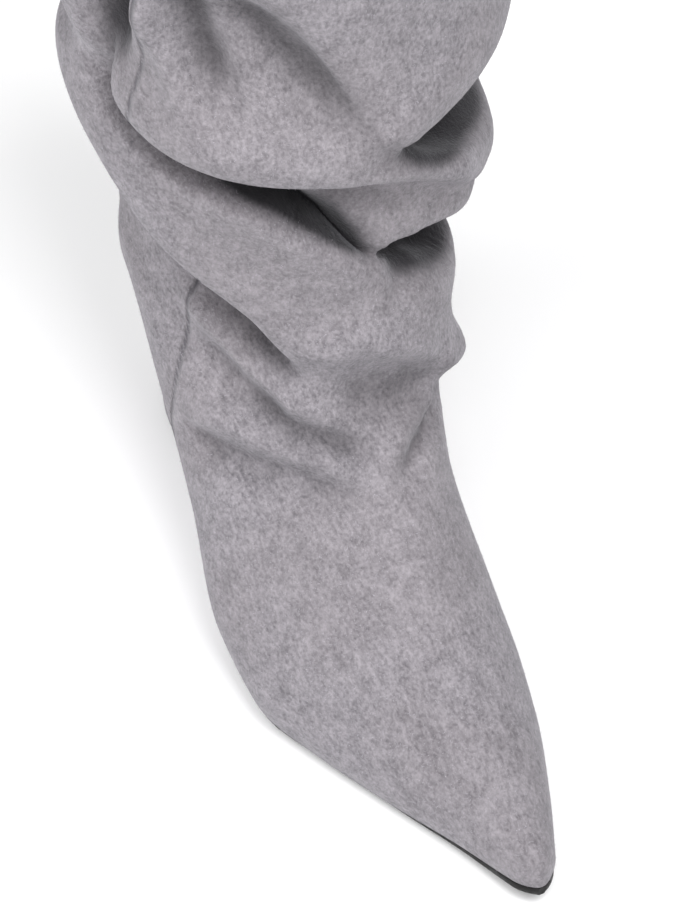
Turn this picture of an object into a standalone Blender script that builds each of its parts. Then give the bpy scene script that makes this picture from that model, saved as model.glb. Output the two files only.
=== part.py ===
"""Slouch ankle boot on a covered wedge, right foot, pointed toe.

+X runs to the toe, +Y to the medial side, +Z up, in metres. The origin is on the floor, under the
middle of the heel seat, on the flat underside of the outsole.
"""

from collections import namedtuple

import bpy
import numpy as np

# Driving sizes of the last
shoe_length = 0.256  # heel back to toe tip, along the floor
ball_width = 0.083  # across the ball, over the upper
heel_rise = 0.074  # footbed at the heel, above the outsole
ankle_front_height = 0.120  # where vamp turns up into shaft, above the floor
ankle_back_height = 0.138
collar_height = 0.268
shaft_width = 0.116
heel_round = 0.036  # length of the rounding at the heel's back
toe_round = 0.006  # length of the rounding at the toe tip

# Thicknesses and clearances
outsole_thickness = 0.003
insole_thickness = 0.0025
upper_wall = 0.0024
collar_hem_depth = 0.016  # the turned edge round the collar
collar_hem_extra = 0.0012
wedge_front_thickness = 0.0012
wedge_taper = 0.0035  # how far the wedge's foot is inset from its top at the heel
heel_undercut = 0.006  # how far the wedge's back leans in at the floor
wedge_edge_inset = 0.0003
sole_edge_inset = 0.0016  # hidden under the felt from the heel to the ball
sole_toe_inset = 0.0003  # shows as a thin line under the felt round the toe
sole_toe_start = 0.80  # share of shoe_length where the sole begins to come out to its toe inset
sole_toe_run = 0.18  # share of shoe_length over which it does so
flat_until = 0.70  # share of shoe_length where the toe spring begins
piece_gap = 0.0003
end_inset = 0.0003  # a slab stops this far short of its edge's two ends
thinnest_half = 0.0006  # half width of a slab at its ends

# The heel's back lies this far behind the origin
heel_seat_centre = 0.046

# Mesh fineness
steps_around = 29  # along each side of a ring, heel to toe
slab_steps = 34  # along the insole and the wedge
sole_steps_behind = 26  # along the outsole, behind the wedge's front edge
sole_steps_before = 18  # along the outsole, before it
ridge_steps = 200  # along the vamp's ridge
wedge_end_steps = 400  # in the search for the wedge's front edge

# The last, a row for each section from the heel's back to the tip.
# along: share of shoe_length. rise: footbed, share of heel_rise. lateral, medial: half widths of the
# feather edge, shares of ball_width. fullness: squareness of the crown. ridge: how far the crown's
# ridge lies to the medial side, share of ball_width. lateral_lean, medial_lean: outward slope of
# the wall.
FootSection = namedtuple(
    "FootSection", "name along rise lateral medial fullness ridge lateral_lean medial_lean"
)
foot_sections = [
    FootSection("heel back", 0.00, 1.000, 0.340, 0.335, 2.0, 0.000, 0.00, 0.00),
    FootSection("heel seat", 0.10, 0.975, 0.350, 0.345, 2.0, 0.000, 0.10, 0.08),
    FootSection("heel breast", 0.20, 0.890, 0.362, 0.335, 1.9, 0.000, 0.36, 0.15),
    FootSection("arch", 0.32, 0.640, 0.430, 0.293, 1.7, 0.010, 0.28, 0.18),
    FootSection("waist", 0.44, 0.330, 0.526, 0.285, 1.5, 0.030, 0.12, 0.13),
    FootSection("lateral ball", 0.54, 0.110, 0.602, 0.330, 1.5, 0.040, 0.04, 0.03),
    FootSection("medial ball", 0.62, 0.025, 0.592, 0.353, 1.6, 0.045, 0.00, 0.00),
    FootSection("toe root", 0.70, 0.000, 0.488, 0.341, 1.7, 0.040, 0.00, 0.00),
    FootSection("vamp point", 0.80, 0.010, 0.333, 0.288, 1.8, 0.030, 0.00, 0.00),
    FootSection("toe box", 0.90, 0.050, 0.180, 0.186, 2.0, 0.015, 0.00, 0.00),
    FootSection("toe", 0.97, 0.085, 0.088, 0.099, 2.2, 0.000, 0.00, 0.00),
    FootSection("tip", 1.00, 0.105, 0.048, 0.056, 2.2, 0.000, 0.00, 0.00),
]

# The upper, a row for each ring from the feather edge to the collar.
# front, back: place of the ring's two ends along the shoe, shares of shoe_length. front_up, back_up:
# their heights, 0 at the feather edge, 1 at the ankle, 2 at the collar. tube: 0 where the ring
# follows the last, 1 where it is a round tube. half: the tube's half width, share of shaft_width.
# aside: how far the tube's middle lies to the medial side, share of shaft_width. steps: rings from
# this row to the next.
UpperRing = namedtuple("UpperRing", "name front front_up back back_up tube half aside steps")
upper_rings = [
    UpperRing("feather edge", 1.000, 0.000, 0.000, 0.000, 0.00, 0.26, 0.06, 2),
    UpperRing("toe wall", 0.998, 0.058, -0.010, 0.082, 0.00, 0.26, 0.06, 1),
    UpperRing("toe crown", 0.985, 0.109, -0.016, 0.148, 0.00, 0.26, 0.07, 1),
    UpperRing("toe box", 0.940, 0.172, -0.020, 0.230, 0.00, 0.27, 0.07, 2),
    UpperRing("low vamp", 0.860, 0.268, -0.020, 0.328, 0.00, 0.28, 0.08, 2),
    UpperRing("vamp", 0.770, 0.381, -0.018, 0.426, 0.05, 0.29, 0.09, 2),
    UpperRing("high vamp", 0.680, 0.512, -0.011, 0.525, 0.15, 0.31, 0.10, 3),
    UpperRing("low instep", 0.600, 0.648, -0.004, 0.639, 0.35, 0.33, 0.10, 4),
    UpperRing("instep", 0.535, 0.806, 0.004, 0.787, 0.60, 0.36, 0.10, 4),
    UpperRing("ankle", 0.500, 1.000, 0.008, 1.000, 0.85, 0.38, 0.09, 4),
    UpperRing("over ankle", 0.490, 1.155, 0.006, 1.131, 1.00, 0.40, 0.07, 7),
    UpperRing("lower shaft", 0.492, 1.405, -0.006, 1.385, 1.00, 0.455, 0.05, 8),
    UpperRing("upper shaft", 0.500, 1.690, -0.016, 1.677, 1.00, 0.510, 0.055, 6),
    UpperRing("collar", 0.505, 2.000, -0.020, 2.000, 1.00, 0.560, 0.070, 0),
]
ankle_row = 9

# The cloth that has slid down, a fold for each roll of it and a row for each place on its crest.
# above, below: how far the roll spreads over and under its crest, shares of collar_height. hang:
# how far it hangs over the trough below, share of collar_height. angle: round the shaft from the
# toe, in degrees, the medial side positive. height: of the crest there, share of collar_height.
# reach: how far the crest stands out there, share of shaft_width.
Fold = namedtuple("Fold", "name above below hang crest")
Crest = namedtuple("Crest", "angle height reach")
folds = [
    Fold("instep ridge", 0.045, 0.034, 0.000, [
        Crest(-70, 0.430, 0.000),
        Crest(-35, 0.430, 0.010),
        Crest(-12, 0.432, 0.020),
        Crest(5, 0.425, 0.024),
        Crest(20, 0.390, 0.036),
        Crest(36, 0.342, 0.052),
        Crest(50, 0.335, 0.044),
        Crest(75, 0.360, 0.015),
        Crest(150, 0.420, 0.000),
    ]),
    Fold("ankle roll", 0.085, 0.052, 0.012, [
        Crest(-150, 0.610, 0.055),
        Crest(-110, 0.680, 0.075),
        Crest(-85, 0.645, 0.082),
        Crest(-58, 0.572, 0.085),
        Crest(-35, 0.515, 0.065),
        Crest(-18, 0.475, 0.050),
        Crest(0, 0.460, 0.040),
        Crest(20, 0.460, 0.030),
        Crest(45, 0.455, 0.040),
        Crest(90, 0.480, 0.052),
        Crest(140, 0.530, 0.045),
        Crest(180, 0.575, 0.045),
    ]),
    Fold("middle roll", 0.070, 0.044, 0.015, [
        Crest(-150, 0.780, 0.040),
        Crest(-110, 0.820, 0.030),
        Crest(-85, 0.790, 0.030),
        Crest(-65, 0.735, 0.055),
        Crest(-40, 0.720, 0.080),
        Crest(-15, 0.715, 0.085),
        Crest(8, 0.680, 0.075),
        Crest(35, 0.612, 0.075),
        Crest(60, 0.588, 0.092),
        Crest(100, 0.622, 0.082),
        Crest(150, 0.720, 0.050),
    ]),
    Fold("top drape", 0.080, 0.050, 0.012, [
        Crest(-120, 0.960, 0.010),
        Crest(-50, 0.960, 0.010),
        Crest(-25, 0.925, 0.022),
        Crest(-8, 0.830, 0.045),
        Crest(10, 0.755, 0.062),
        Crest(30, 0.775, 0.064),
        Crest(60, 0.812, 0.068),
        Crest(110, 0.865, 0.058),
        Crest(160, 0.890, 0.030),
    ]),
]

full_reach = 0.05  # a fold that reaches this far, as a share of shaft_width, hangs in full
crown_start = 0.22  # share of a section's height that is upright wall
wall_tuck = 0.10  # how far the wall tucks in at the feather edge
far_ridge_slope = 1.25  # how steeply the ridge line goes on behind the ankle
smooth_angle = 0.9  # edges sharper than this stay sharp, in radians

# Finishes
felt_grey = (0.36, 0.355, 0.375)
felt_roughness = 0.95
lining_grey = (0.30, 0.28, 0.27)
lining_roughness = 0.8
sole_black = (0.02, 0.02, 0.021)
sole_roughness = 0.55


def clear_scene():
    """Removes what the scene holds."""
    for item in list(bpy.data.objects):
        bpy.data.objects.remove(item)


def through(xs, ys, x):
    """A smooth curve through a short table that never overshoots its rows."""
    xs, ys = np.asarray(xs, float), np.asarray(ys, float)
    step = np.diff(xs)
    slope = np.diff(ys) / step
    tangent = np.zeros(len(xs))
    tangent[0], tangent[-1] = slope[0], slope[-1]
    for i in range(1, len(xs) - 1):
        if slope[i - 1] * slope[i] > 0:
            near, far = 2 * step[i] + step[i - 1], step[i] + 2 * step[i - 1]
            tangent[i] = (near + far) / (near / slope[i - 1] + far / slope[i])
    x = np.clip(np.asarray(x, float), xs[0], xs[-1])
    i = np.clip(np.searchsorted(xs, x, side="right") - 1, 0, len(xs) - 2)
    t = (x - xs[i]) / step[i]
    start = (1 + 2 * t) * (1 - t) ** 2 * ys[i] + t * (1 - t) ** 2 * step[i] * tangent[i]
    return start + t * t * (3 - 2 * t) * ys[i + 1] + t * t * (t - 1) * step[i] * tangent[i + 1]


def foot(column, x):
    """A column of the last's table at distance x from the heel's back."""
    return through(
        [s.along for s in foot_sections],
        [getattr(s, column) for s in foot_sections],
        np.asarray(x) / shoe_length,
    )


def ring(column, level):
    """A column of the upper's table at a level, counted in rows."""
    return through(range(len(upper_rings)), [getattr(r, column) for r in upper_rings], level)


def footbed(x):
    """Height of the surface that upper and insole stand on."""
    return outsole_thickness + piece_gap + heel_rise * foot("rise", x)


def rounding(distance, reach):
    """A quarter round: 0 at an edge, 1 from reach inwards."""
    t = np.clip(distance / reach, 0, 1)
    return np.sqrt(np.clip(1 - (1 - t) ** 2, 0, 1))


def climb(share, low, ankle):
    """Height for a share that is 0 at the footbed, 1 at the ankle and 2 at the collar."""
    under_ankle = np.clip(share, 0, 1) * (ankle - low)
    return low + under_ankle + np.clip(share - 1, 0, 1) * (collar_height - ankle)


def ring_ends(level):
    """Front and back ends of the rings, in the plane of the shoe's middle."""
    front_x = ring("front", level) * shoe_length
    back_x = ring("back", level) * shoe_length
    front_z = climb(ring("front_up", level), footbed(front_x) + piece_gap, ankle_front_height)
    back_z = climb(ring("back_up", level), footbed(back_x) + piece_gap, ankle_back_height)
    return front_x, front_z, back_x, back_z


def ridge_height(x):
    """Height of the vamp's ridge over x, carried on behind the ankle as a steep line."""
    level = np.linspace(0, ankle_row, ridge_steps)
    front_x, front_z, _, _ = ring_ends(level)
    x_line, z_line = front_x[::-1], front_z[::-1]
    beyond = x_line[0] - np.asarray(x)
    return np.where(beyond > 0, z_line[0] + far_ridge_slope * beyond, np.interp(x, x_line, z_line))


def feather_half(side, x):
    """Half width of the feather edge on one side."""
    half = foot(side, x) * ball_width
    return half * rounding(x, heel_round) * rounding(shoe_length - x, toe_round)


def round_angle(share):
    """Angle round the shaft for a share of the ring's length: 0 at the front, pi at the back."""
    return np.arccos(np.clip(2 * share - 1, -1, 1))


def smooth_side(level, share):
    """The upper without its rolls: points of the lateral and the medial side."""
    front_x, front_z, back_x, back_z = (v[:, None] for v in ring_ends(level))
    tube = ring("tube", level)[:, None]
    x = back_x + (front_x - back_x) * share
    straight = footbed(back_x) + (footbed(front_x) - footbed(back_x)) * share
    z = back_z + (front_z - back_z) * share + (1 - tube) * (footbed(x) - straight)
    low = footbed(x)
    height = np.maximum(ridge_height(x) - low, 1e-4)
    up = np.clip((z - low) / height, 0, 1)
    crown = np.clip((up - crown_start) / (1 - crown_start), 0, 1)
    crowned = np.sqrt(np.clip(1 - crown ** foot("fullness", x), 0, 1))
    tucked = 1 - wall_tuck * np.clip((crown_start - up) / crown_start, 0, 1) ** 2
    fill = np.where(up > crown_start, crowned, tucked)
    fill = fill * rounding(x - back_x, heel_round) * rounding(shoe_length - x, toe_round)
    rise = np.clip(z - low, 0, ankle_front_height / 2)
    round_half = np.sin(round_angle(share)) * ring("half", level)[:, None] * shaft_width
    aside = ring("aside", level)[:, None] * shaft_width
    middle = foot("ridge", x) * ball_width * (1 - tube) * up + aside * tube
    sides = []
    for name, sign in (("lateral", -1), ("medial", 1)):
        half = (foot(name, x) * ball_width + foot(name + "_lean", x) * rise) * fill
        half = half * (1 - tube) + round_half * tube
        sides.append(np.stack([x, middle + sign * half, z], -1))
    return sides


def all_round(level):
    """Rings of the smooth upper: heel back, lateral side, toe, medial side."""
    share = (1 - np.cos(np.pi * np.linspace(0, 1, steps_around + 1))) / 2
    lateral, medial = smooth_side(level, share)
    return np.concatenate([lateral, medial[:, -2:0:-1]], axis=1)


def normals(points):
    """Outward directions of a grid of rings."""
    along = np.roll(points, -1, axis=1) - np.roll(points, 1, axis=1)
    up = np.gradient(points, axis=0)
    across = np.cross(along, up)
    across /= np.maximum(np.linalg.norm(across, axis=-1, keepdims=True), 1e-12)
    return across


def along_crest(fold, column, angle):
    """A column of a fold's crest at any angle round the shaft."""
    angles = [c.angle for c in fold.crest]
    values = [getattr(c, column) for c in fold.crest]
    angles = [angles[-2] - 360, angles[-1] - 360] + angles + [angles[0] + 360, angles[1] + 360]
    values = values[-2:] + values + values[:2]
    return through(angles, values, np.where(angle < angles[1], angle + 360, angle))


def slouched(points):
    """Pushes the folds out of the smooth upper and lets them hang over the troughs below them."""
    out = normals(points)
    middle = points[..., :2].mean(axis=1, keepdims=True)
    from_middle = points[..., :2] - middle
    angle = np.degrees(np.arctan2(from_middle[..., 1], from_middle[..., 0]))
    height = points[..., 2] / collar_height
    moved = points.copy()
    for fold in folds:
        gap = height - along_crest(fold, "height", angle)
        bump = np.exp(-((gap / np.where(gap > 0, fold.above, fold.below)) ** 2))
        moved += out * (bump * along_crest(fold, "reach", angle) * shaft_width)[..., None]
        share = np.minimum(along_crest(fold, "reach", angle) / full_reach, 1)
        moved[..., 2] -= bump * share * fold.hang * collar_height
    return moved


def upper_surface(level):
    """The upper's outer face, ring by ring."""
    return slouched(all_round(level))


def upper_levels():
    """Levels of the rings, closest together where the cloth is folded."""
    levels = [0.0]
    for row, item in enumerate(upper_rings):
        levels += [row + (i + 1) / item.steps for i in range(item.steps)]
    return np.array(levels)


def solid(name, vertices, faces, material):
    """A named object from points and faces, moved so that the heel seat is over the origin."""
    mesh = bpy.data.meshes.new(name)
    shifted = np.asarray(vertices, float) - np.array([heel_seat_centre, 0, 0])
    mesh.from_pydata([tuple(v) for v in shifted], [], faces)
    mesh.validate()
    mesh.update()
    mesh.shade_smooth()
    mesh.set_sharp_from_angle(angle=smooth_angle)
    made = bpy.data.objects.new(name, mesh)
    made.data.materials.append(material)
    bpy.context.scene.collection.objects.link(made)
    return made


def finish(name, colour, roughness):
    """A plain material with one colour."""
    material = bpy.data.materials.new(name)
    material.use_nodes = True
    shader = material.node_tree.nodes["Principled BSDF"]
    shader.inputs["Base Color"].default_value = (*colour, 1.0)
    shader.inputs["Roughness"].default_value = roughness
    shader.inputs["Metallic"].default_value = 0.0
    return material


def ring_faces(rows, count, flip=False):
    """Quads between neighbouring closed rings."""
    faces = []
    for i in range(rows - 1):
        for j in range(count):
            k = (j + 1) % count
            quad = (i * count + j, i * count + k, (i + 1) * count + k, (i + 1) * count + j)
            faces.append(quad[::-1] if flip else quad)
    return faces


def build_upper(material):
    """The upper: one felt wall from the feather edge to the turned collar."""
    outer = upper_surface(upper_levels())
    rows, count = outer.shape[:2]
    below_collar = collar_height - outer[..., 2]
    hem = np.where(below_collar < collar_hem_depth, collar_hem_extra, 0.0)
    thickness = (upper_wall + hem)[..., None]
    inner = outer - normals(outer) * thickness
    inner[0, :, 2] = outer[0, :, 2]
    inner[-1, :, 2] = outer[-1, :, 2]
    vertices = np.concatenate([outer.reshape(-1, 3), inner.reshape(-1, 3)])
    start = rows * count
    faces = ring_faces(rows, count)
    faces += [tuple(start + v for v in face) for face in ring_faces(rows, count, flip=True)]
    for j in range(count):
        k = (j + 1) % count
        faces.append((k, j, start + j, start + k))
        top = (rows - 1) * count
        faces.append((top + j, top + k, start + top + k, start + top + j))
    return solid("upper", vertices, faces, material)


def inset_edge(inset):
    """The feather edge in plan, drawn in by a distance: the x and half width of both sides."""
    edge = all_round(np.array([0.0]))[0]
    along = np.roll(edge, -1, axis=0) - np.roll(edge, 1, axis=0)
    along /= np.linalg.norm(along[:, :2], axis=1, keepdims=True)
    x = edge[:, 0] - along[:, 1] * inset
    y = edge[:, 1] + along[:, 0] * inset
    far_side = np.concatenate([[0], np.arange(2 * steps_around - 1, steps_around - 1, -1)])
    near_side = np.arange(steps_around + 1)
    return (x[near_side], -y[near_side]), (x[far_side], y[far_side])


def stations(first, last, count):
    """Places along the shoe, closest together at both ends."""
    return first + (last - first) * (1 - np.cos(np.pi * np.linspace(0, 1, count))) / 2


def half_widths(edge, x):
    """Half widths of an inset edge over x, never thinner than a sliver."""
    return [np.maximum(np.interp(x, xs, ys), thinnest_half) for xs, ys in edge]


def slab(name, top_x, top_sides, top, low_x, low_sides, low, material):
    """A closed solid with four corners at each station: top lateral, top medial and the two below."""
    corners = [
        np.stack([top_x, -top_sides[0], top], -1),
        np.stack([top_x, top_sides[1], top], -1),
        np.stack([low_x, low_sides[1], low], -1),
        np.stack([low_x, -low_sides[0], low], -1),
    ]
    vertices = np.stack(corners, axis=1).reshape(-1, 3)
    faces = []
    for i in range(len(top_x) - 1):
        for a in range(4):
            b = (a + 1) % 4
            faces.append((4 * i + b, 4 * i + a, 4 * i + 4 + a, 4 * i + 4 + b))
    last = 4 * (len(top_x) - 1)
    faces.append((0, 1, 2, 3))
    faces.append((last + 3, last + 2, last + 1, last))
    return solid(name, vertices, faces, material)


def build_insole(material):
    """The sock inside, a clearance within the upper's wall."""
    edge = inset_edge(upper_wall + 2 * piece_gap)
    x = stations(edge[0][0][0] + end_inset, edge[0][0][-1] - end_inset, slab_steps)
    sides = half_widths(edge, x)
    low = footbed(x) + piece_gap
    return slab("insole", x, sides, low + insole_thickness, x, sides, low, material)


def wedge_end():
    """Where the wedge has thinned to its front edge."""
    x = np.linspace(shoe_length / 2, shoe_length, wedge_end_steps)
    thickness = footbed(x) - outsole_thickness - piece_gap
    return float(x[np.argmax(thickness < wedge_front_thickness)])


def leaned(x, edge):
    """Stations and half widths at the floor: inset towards the heel, where the wedge is high."""
    high = np.clip((footbed(x) - outsole_thickness - wedge_front_thickness) / heel_rise, 0, 1)
    forward = heel_undercut * np.clip(1 - x / wedge_end(), 0, 1)
    sides = [np.maximum(half - wedge_taper * high, thinnest_half) for half in half_widths(edge, x)]
    return x + forward, sides


def build_wedge(material):
    """The covered wedge between outsole and footbed, its foot inset towards the heel."""
    edge = inset_edge(wedge_edge_inset)
    x = stations(edge[0][0][0] + end_inset, wedge_end(), slab_steps)
    low_x, low_sides = leaned(x, edge)
    low = np.full_like(x, outsole_thickness + piece_gap)
    return slab("wedge", x, half_widths(edge, x), footbed(x), low_x, low_sides, low, material)


def build_outsole(material):
    """The thin black sole: flat from heel to ball, then up with the toe spring."""
    edge = inset_edge(sole_edge_inset)
    toe_edge = inset_edge(sole_toe_inset)
    step = wedge_end() + piece_gap
    behind = stations(edge[0][0][0] + end_inset, step, sole_steps_behind)
    before = stations(step + piece_gap, toe_edge[0][0][-1] - end_inset, sole_steps_before)
    x = np.concatenate([behind, before])
    low_x, drawn_in = leaned(x, edge)
    toe = np.clip((x / shoe_length - sole_toe_start) / sole_toe_run, 0, 1)
    sides = [half + (out - half) * toe for half, out in zip(drawn_in, half_widths(toe_edge, x))]
    top = np.where(x > step, footbed(x), outsole_thickness)
    low = np.where(x > shoe_length * flat_until, footbed(x) - outsole_thickness - piece_gap, 0.0)
    return slab("outsole", low_x, sides, top, low_x, sides, low, material)


def main():
    """Builds the boot."""
    clear_scene()
    felt = finish("felt", felt_grey, felt_roughness)
    lining = finish("lining", lining_grey, lining_roughness)
    black_sole = finish("black sole", sole_black, sole_roughness)
    build_outsole(black_sole)
    build_wedge(felt)
    build_insole(lining)
    build_upper(felt)


main()
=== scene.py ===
"""Slouch ankle boot on a covered wedge, right foot, dressed over its fixed frame.

Metres throughout: +X runs to the toe, +Y to the medial side, +Z up. The origin is on the floor, under
the middle of the heel seat.
"""

import logging
import math
from dataclasses import dataclass, field
from enum import Enum
from typing import Mapping, Optional, Sequence, Union

import bpy
import numpy as np
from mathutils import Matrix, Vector


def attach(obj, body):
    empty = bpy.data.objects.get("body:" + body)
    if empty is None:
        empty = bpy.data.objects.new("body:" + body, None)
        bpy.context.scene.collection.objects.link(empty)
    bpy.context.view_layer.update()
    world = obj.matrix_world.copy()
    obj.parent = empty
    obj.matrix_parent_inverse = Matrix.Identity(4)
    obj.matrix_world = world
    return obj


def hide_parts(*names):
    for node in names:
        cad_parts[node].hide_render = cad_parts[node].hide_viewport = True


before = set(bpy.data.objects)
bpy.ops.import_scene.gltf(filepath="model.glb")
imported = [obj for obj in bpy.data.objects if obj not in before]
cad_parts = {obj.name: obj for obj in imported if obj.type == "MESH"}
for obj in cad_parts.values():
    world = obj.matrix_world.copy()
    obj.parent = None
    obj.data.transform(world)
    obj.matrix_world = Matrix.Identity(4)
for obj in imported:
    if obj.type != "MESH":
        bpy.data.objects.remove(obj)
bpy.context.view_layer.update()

log = logging.getLogger("boot")

Colour = tuple[float, float, float]
Operand = Union["Value", float]


class Side(Enum):
    """A side of the shoe, by the sign of its Y."""

    LATERAL = -1
    MEDIAL = 1


# Tables of the form


@dataclass(frozen=True)
class FootSection:
    """One section of the last, from the heel's back to the tip.

    along is a share of the length, rise of the heel rise, lateral and medial of the ball width.
    """

    name: str
    along: float
    rise: float
    lateral: float
    medial: float
    fullness: float
    ridge: float
    lateral_lean: float
    medial_lean: float


@dataclass(frozen=True)
class UpperRing:
    """One ring of the upper, from the feather edge to the collar.

    front and back are shares of the length. front_up and back_up are 0 at the feather edge, 1 at the
    ankle, 2 at the collar. half and aside are shares of the shaft width. steps counts mesh rings to
    the next row.
    """

    name: str
    front: float
    front_up: float
    back: float
    back_up: float
    tube: float
    half: float
    aside: float
    steps: int


@dataclass(frozen=True)
class Crest:
    """A place on a roll's crest: angle in degrees from the toe, height and reach as shares."""

    angle: float
    height: float
    reach: float


@dataclass(frozen=True)
class Roll:
    """A roll of cloth that has slid down the shaft."""

    name: str
    above: float
    below: float
    hang: float
    crest: tuple[Crest, ...]


@dataclass(frozen=True)
class Mark:
    """A place on a crease: around is 0 at the front, -0.5 lateral, 0.5 medial, 1 at the back."""

    around: float
    level: float
    strength: float


@dataclass(frozen=True)
class Crease:
    """A ridge (push above 0) or trough (push below 0) in the cloth, along a short path.

    push is how far it stands out, sag how far its lip slides down over what is below, above and
    below its spread on either side of the path. shade counts as more depth, for the inside of a
    pocket where no light comes.
    """

    name: str
    push: float
    sag: float
    above: float
    below: float
    path: tuple[Mark, ...]
    shade: float = 0.0


FOOT_SECTIONS = (
    FootSection("heel back", 0.00, 1.000, 0.340, 0.335, 2.0, 0.000, 0.00, 0.00),
    FootSection("heel seat", 0.10, 0.975, 0.350, 0.345, 2.0, 0.000, 0.10, 0.08),
    FootSection("heel breast", 0.20, 0.890, 0.362, 0.335, 1.9, 0.000, 0.36, 0.15),
    FootSection("arch", 0.32, 0.640, 0.430, 0.293, 1.7, 0.010, 0.28, 0.18),
    FootSection("waist", 0.44, 0.330, 0.526, 0.285, 1.5, 0.030, 0.12, 0.13),
    FootSection("lateral ball", 0.54, 0.110, 0.602, 0.330, 1.5, 0.040, 0.04, 0.03),
    FootSection("medial ball", 0.62, 0.025, 0.592, 0.353, 1.6, 0.045, 0.00, 0.00),
    FootSection("toe root", 0.70, 0.000, 0.488, 0.341, 1.7, 0.040, 0.00, 0.00),
    FootSection("vamp point", 0.80, 0.010, 0.333, 0.288, 1.8, 0.030, 0.00, 0.00),
    FootSection("toe box", 0.90, 0.050, 0.180, 0.186, 2.0, 0.015, 0.00, 0.00),
    FootSection("toe", 0.97, 0.085, 0.088, 0.099, 2.2, 0.000, 0.00, 0.00),
    FootSection("tip", 1.00, 0.105, 0.048, 0.056, 2.2, 0.000, 0.00, 0.00),
)

UPPER_RINGS = (
    UpperRing("feather edge", 1.000, 0.000, 0.000, 0.000, 0.00, 0.26, 0.06, 5),
    UpperRing("toe wall", 0.998, 0.058, -0.010, 0.082, 0.00, 0.26, 0.06, 4),
    UpperRing("toe crown", 0.985, 0.109, -0.016, 0.148, 0.00, 0.26, 0.07, 8),
    UpperRing("toe box", 0.940, 0.172, -0.020, 0.230, 0.00, 0.27, 0.07, 14),
    UpperRing("low vamp", 0.860, 0.268, -0.020, 0.328, 0.00, 0.28, 0.08, 16),
    UpperRing("vamp", 0.770, 0.381, -0.018, 0.426, 0.05, 0.29, 0.09, 18),
    UpperRing("high vamp", 0.680, 0.512, -0.011, 0.525, 0.15, 0.31, 0.10, 18),
    UpperRing("low instep", 0.600, 0.648, -0.004, 0.639, 0.35, 0.33, 0.10, 18),
    UpperRing("instep", 0.535, 0.806, 0.004, 0.787, 0.60, 0.36, 0.10, 17),
    UpperRing("ankle", 0.500, 1.000, 0.008, 1.000, 0.85, 0.38, 0.09, 18),
    UpperRing("over ankle", 0.490, 1.155, 0.006, 1.131, 1.00, 0.40, 0.07, 44),
    UpperRing("lower shaft", 0.492, 1.405, -0.006, 1.385, 1.00, 0.455, 0.05, 38),
    UpperRing("upper shaft", 0.500, 1.690, -0.016, 1.677, 1.00, 0.510, 0.055, 26),
    UpperRing("collar", 0.505, 2.000, -0.020, 2.000, 1.00, 0.560, 0.070, 0),
)

ROLLS = (
    Roll("instep ridge", 0.045, 0.034, 0.000, (
        Crest(-70, 0.430, 0.000),
        Crest(-35, 0.430, 0.010),
        Crest(-12, 0.432, 0.020),
        Crest(5, 0.425, 0.024),
        Crest(20, 0.390, 0.036),
        Crest(36, 0.342, 0.052),
        Crest(50, 0.335, 0.044),
        Crest(75, 0.360, 0.015),
        Crest(150, 0.420, 0.000),
    )),
    Roll("ankle roll", 0.085, 0.052, 0.012, (
        Crest(-150, 0.610, 0.055),
        Crest(-110, 0.680, 0.075),
        Crest(-85, 0.645, 0.082),
        Crest(-58, 0.572, 0.085),
        Crest(-35, 0.515, 0.065),
        Crest(-18, 0.475, 0.050),
        Crest(0, 0.460, 0.040),
        Crest(20, 0.460, 0.030),
        Crest(45, 0.455, 0.040),
        Crest(90, 0.480, 0.052),
        Crest(140, 0.530, 0.045),
        Crest(180, 0.575, 0.045),
    )),
    Roll("middle roll", 0.070, 0.034, 0.015, (
        Crest(-150, 0.780, 0.040),
        Crest(-110, 0.820, 0.030),
        Crest(-85, 0.790, 0.030),
        Crest(-65, 0.742, 0.055),
        Crest(-40, 0.735, 0.080),
        Crest(-15, 0.733, 0.085),
        Crest(8, 0.700, 0.075),
        Crest(35, 0.612, 0.075),
        Crest(60, 0.588, 0.092),
        Crest(100, 0.622, 0.082),
        Crest(150, 0.720, 0.050),
    )),
    Roll("top drape", 0.080, 0.050, 0.012, (
        Crest(-120, 0.960, 0.010),
        Crest(-50, 0.960, 0.010),
        Crest(-25, 0.925, 0.022),
        Crest(-8, 0.830, 0.045),
        Crest(10, 0.755, 0.062),
        Crest(30, 0.775, 0.064),
        Crest(60, 0.812, 0.068),
        Crest(110, 0.865, 0.058),
        Crest(160, 0.890, 0.030),
    )),
)

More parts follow.
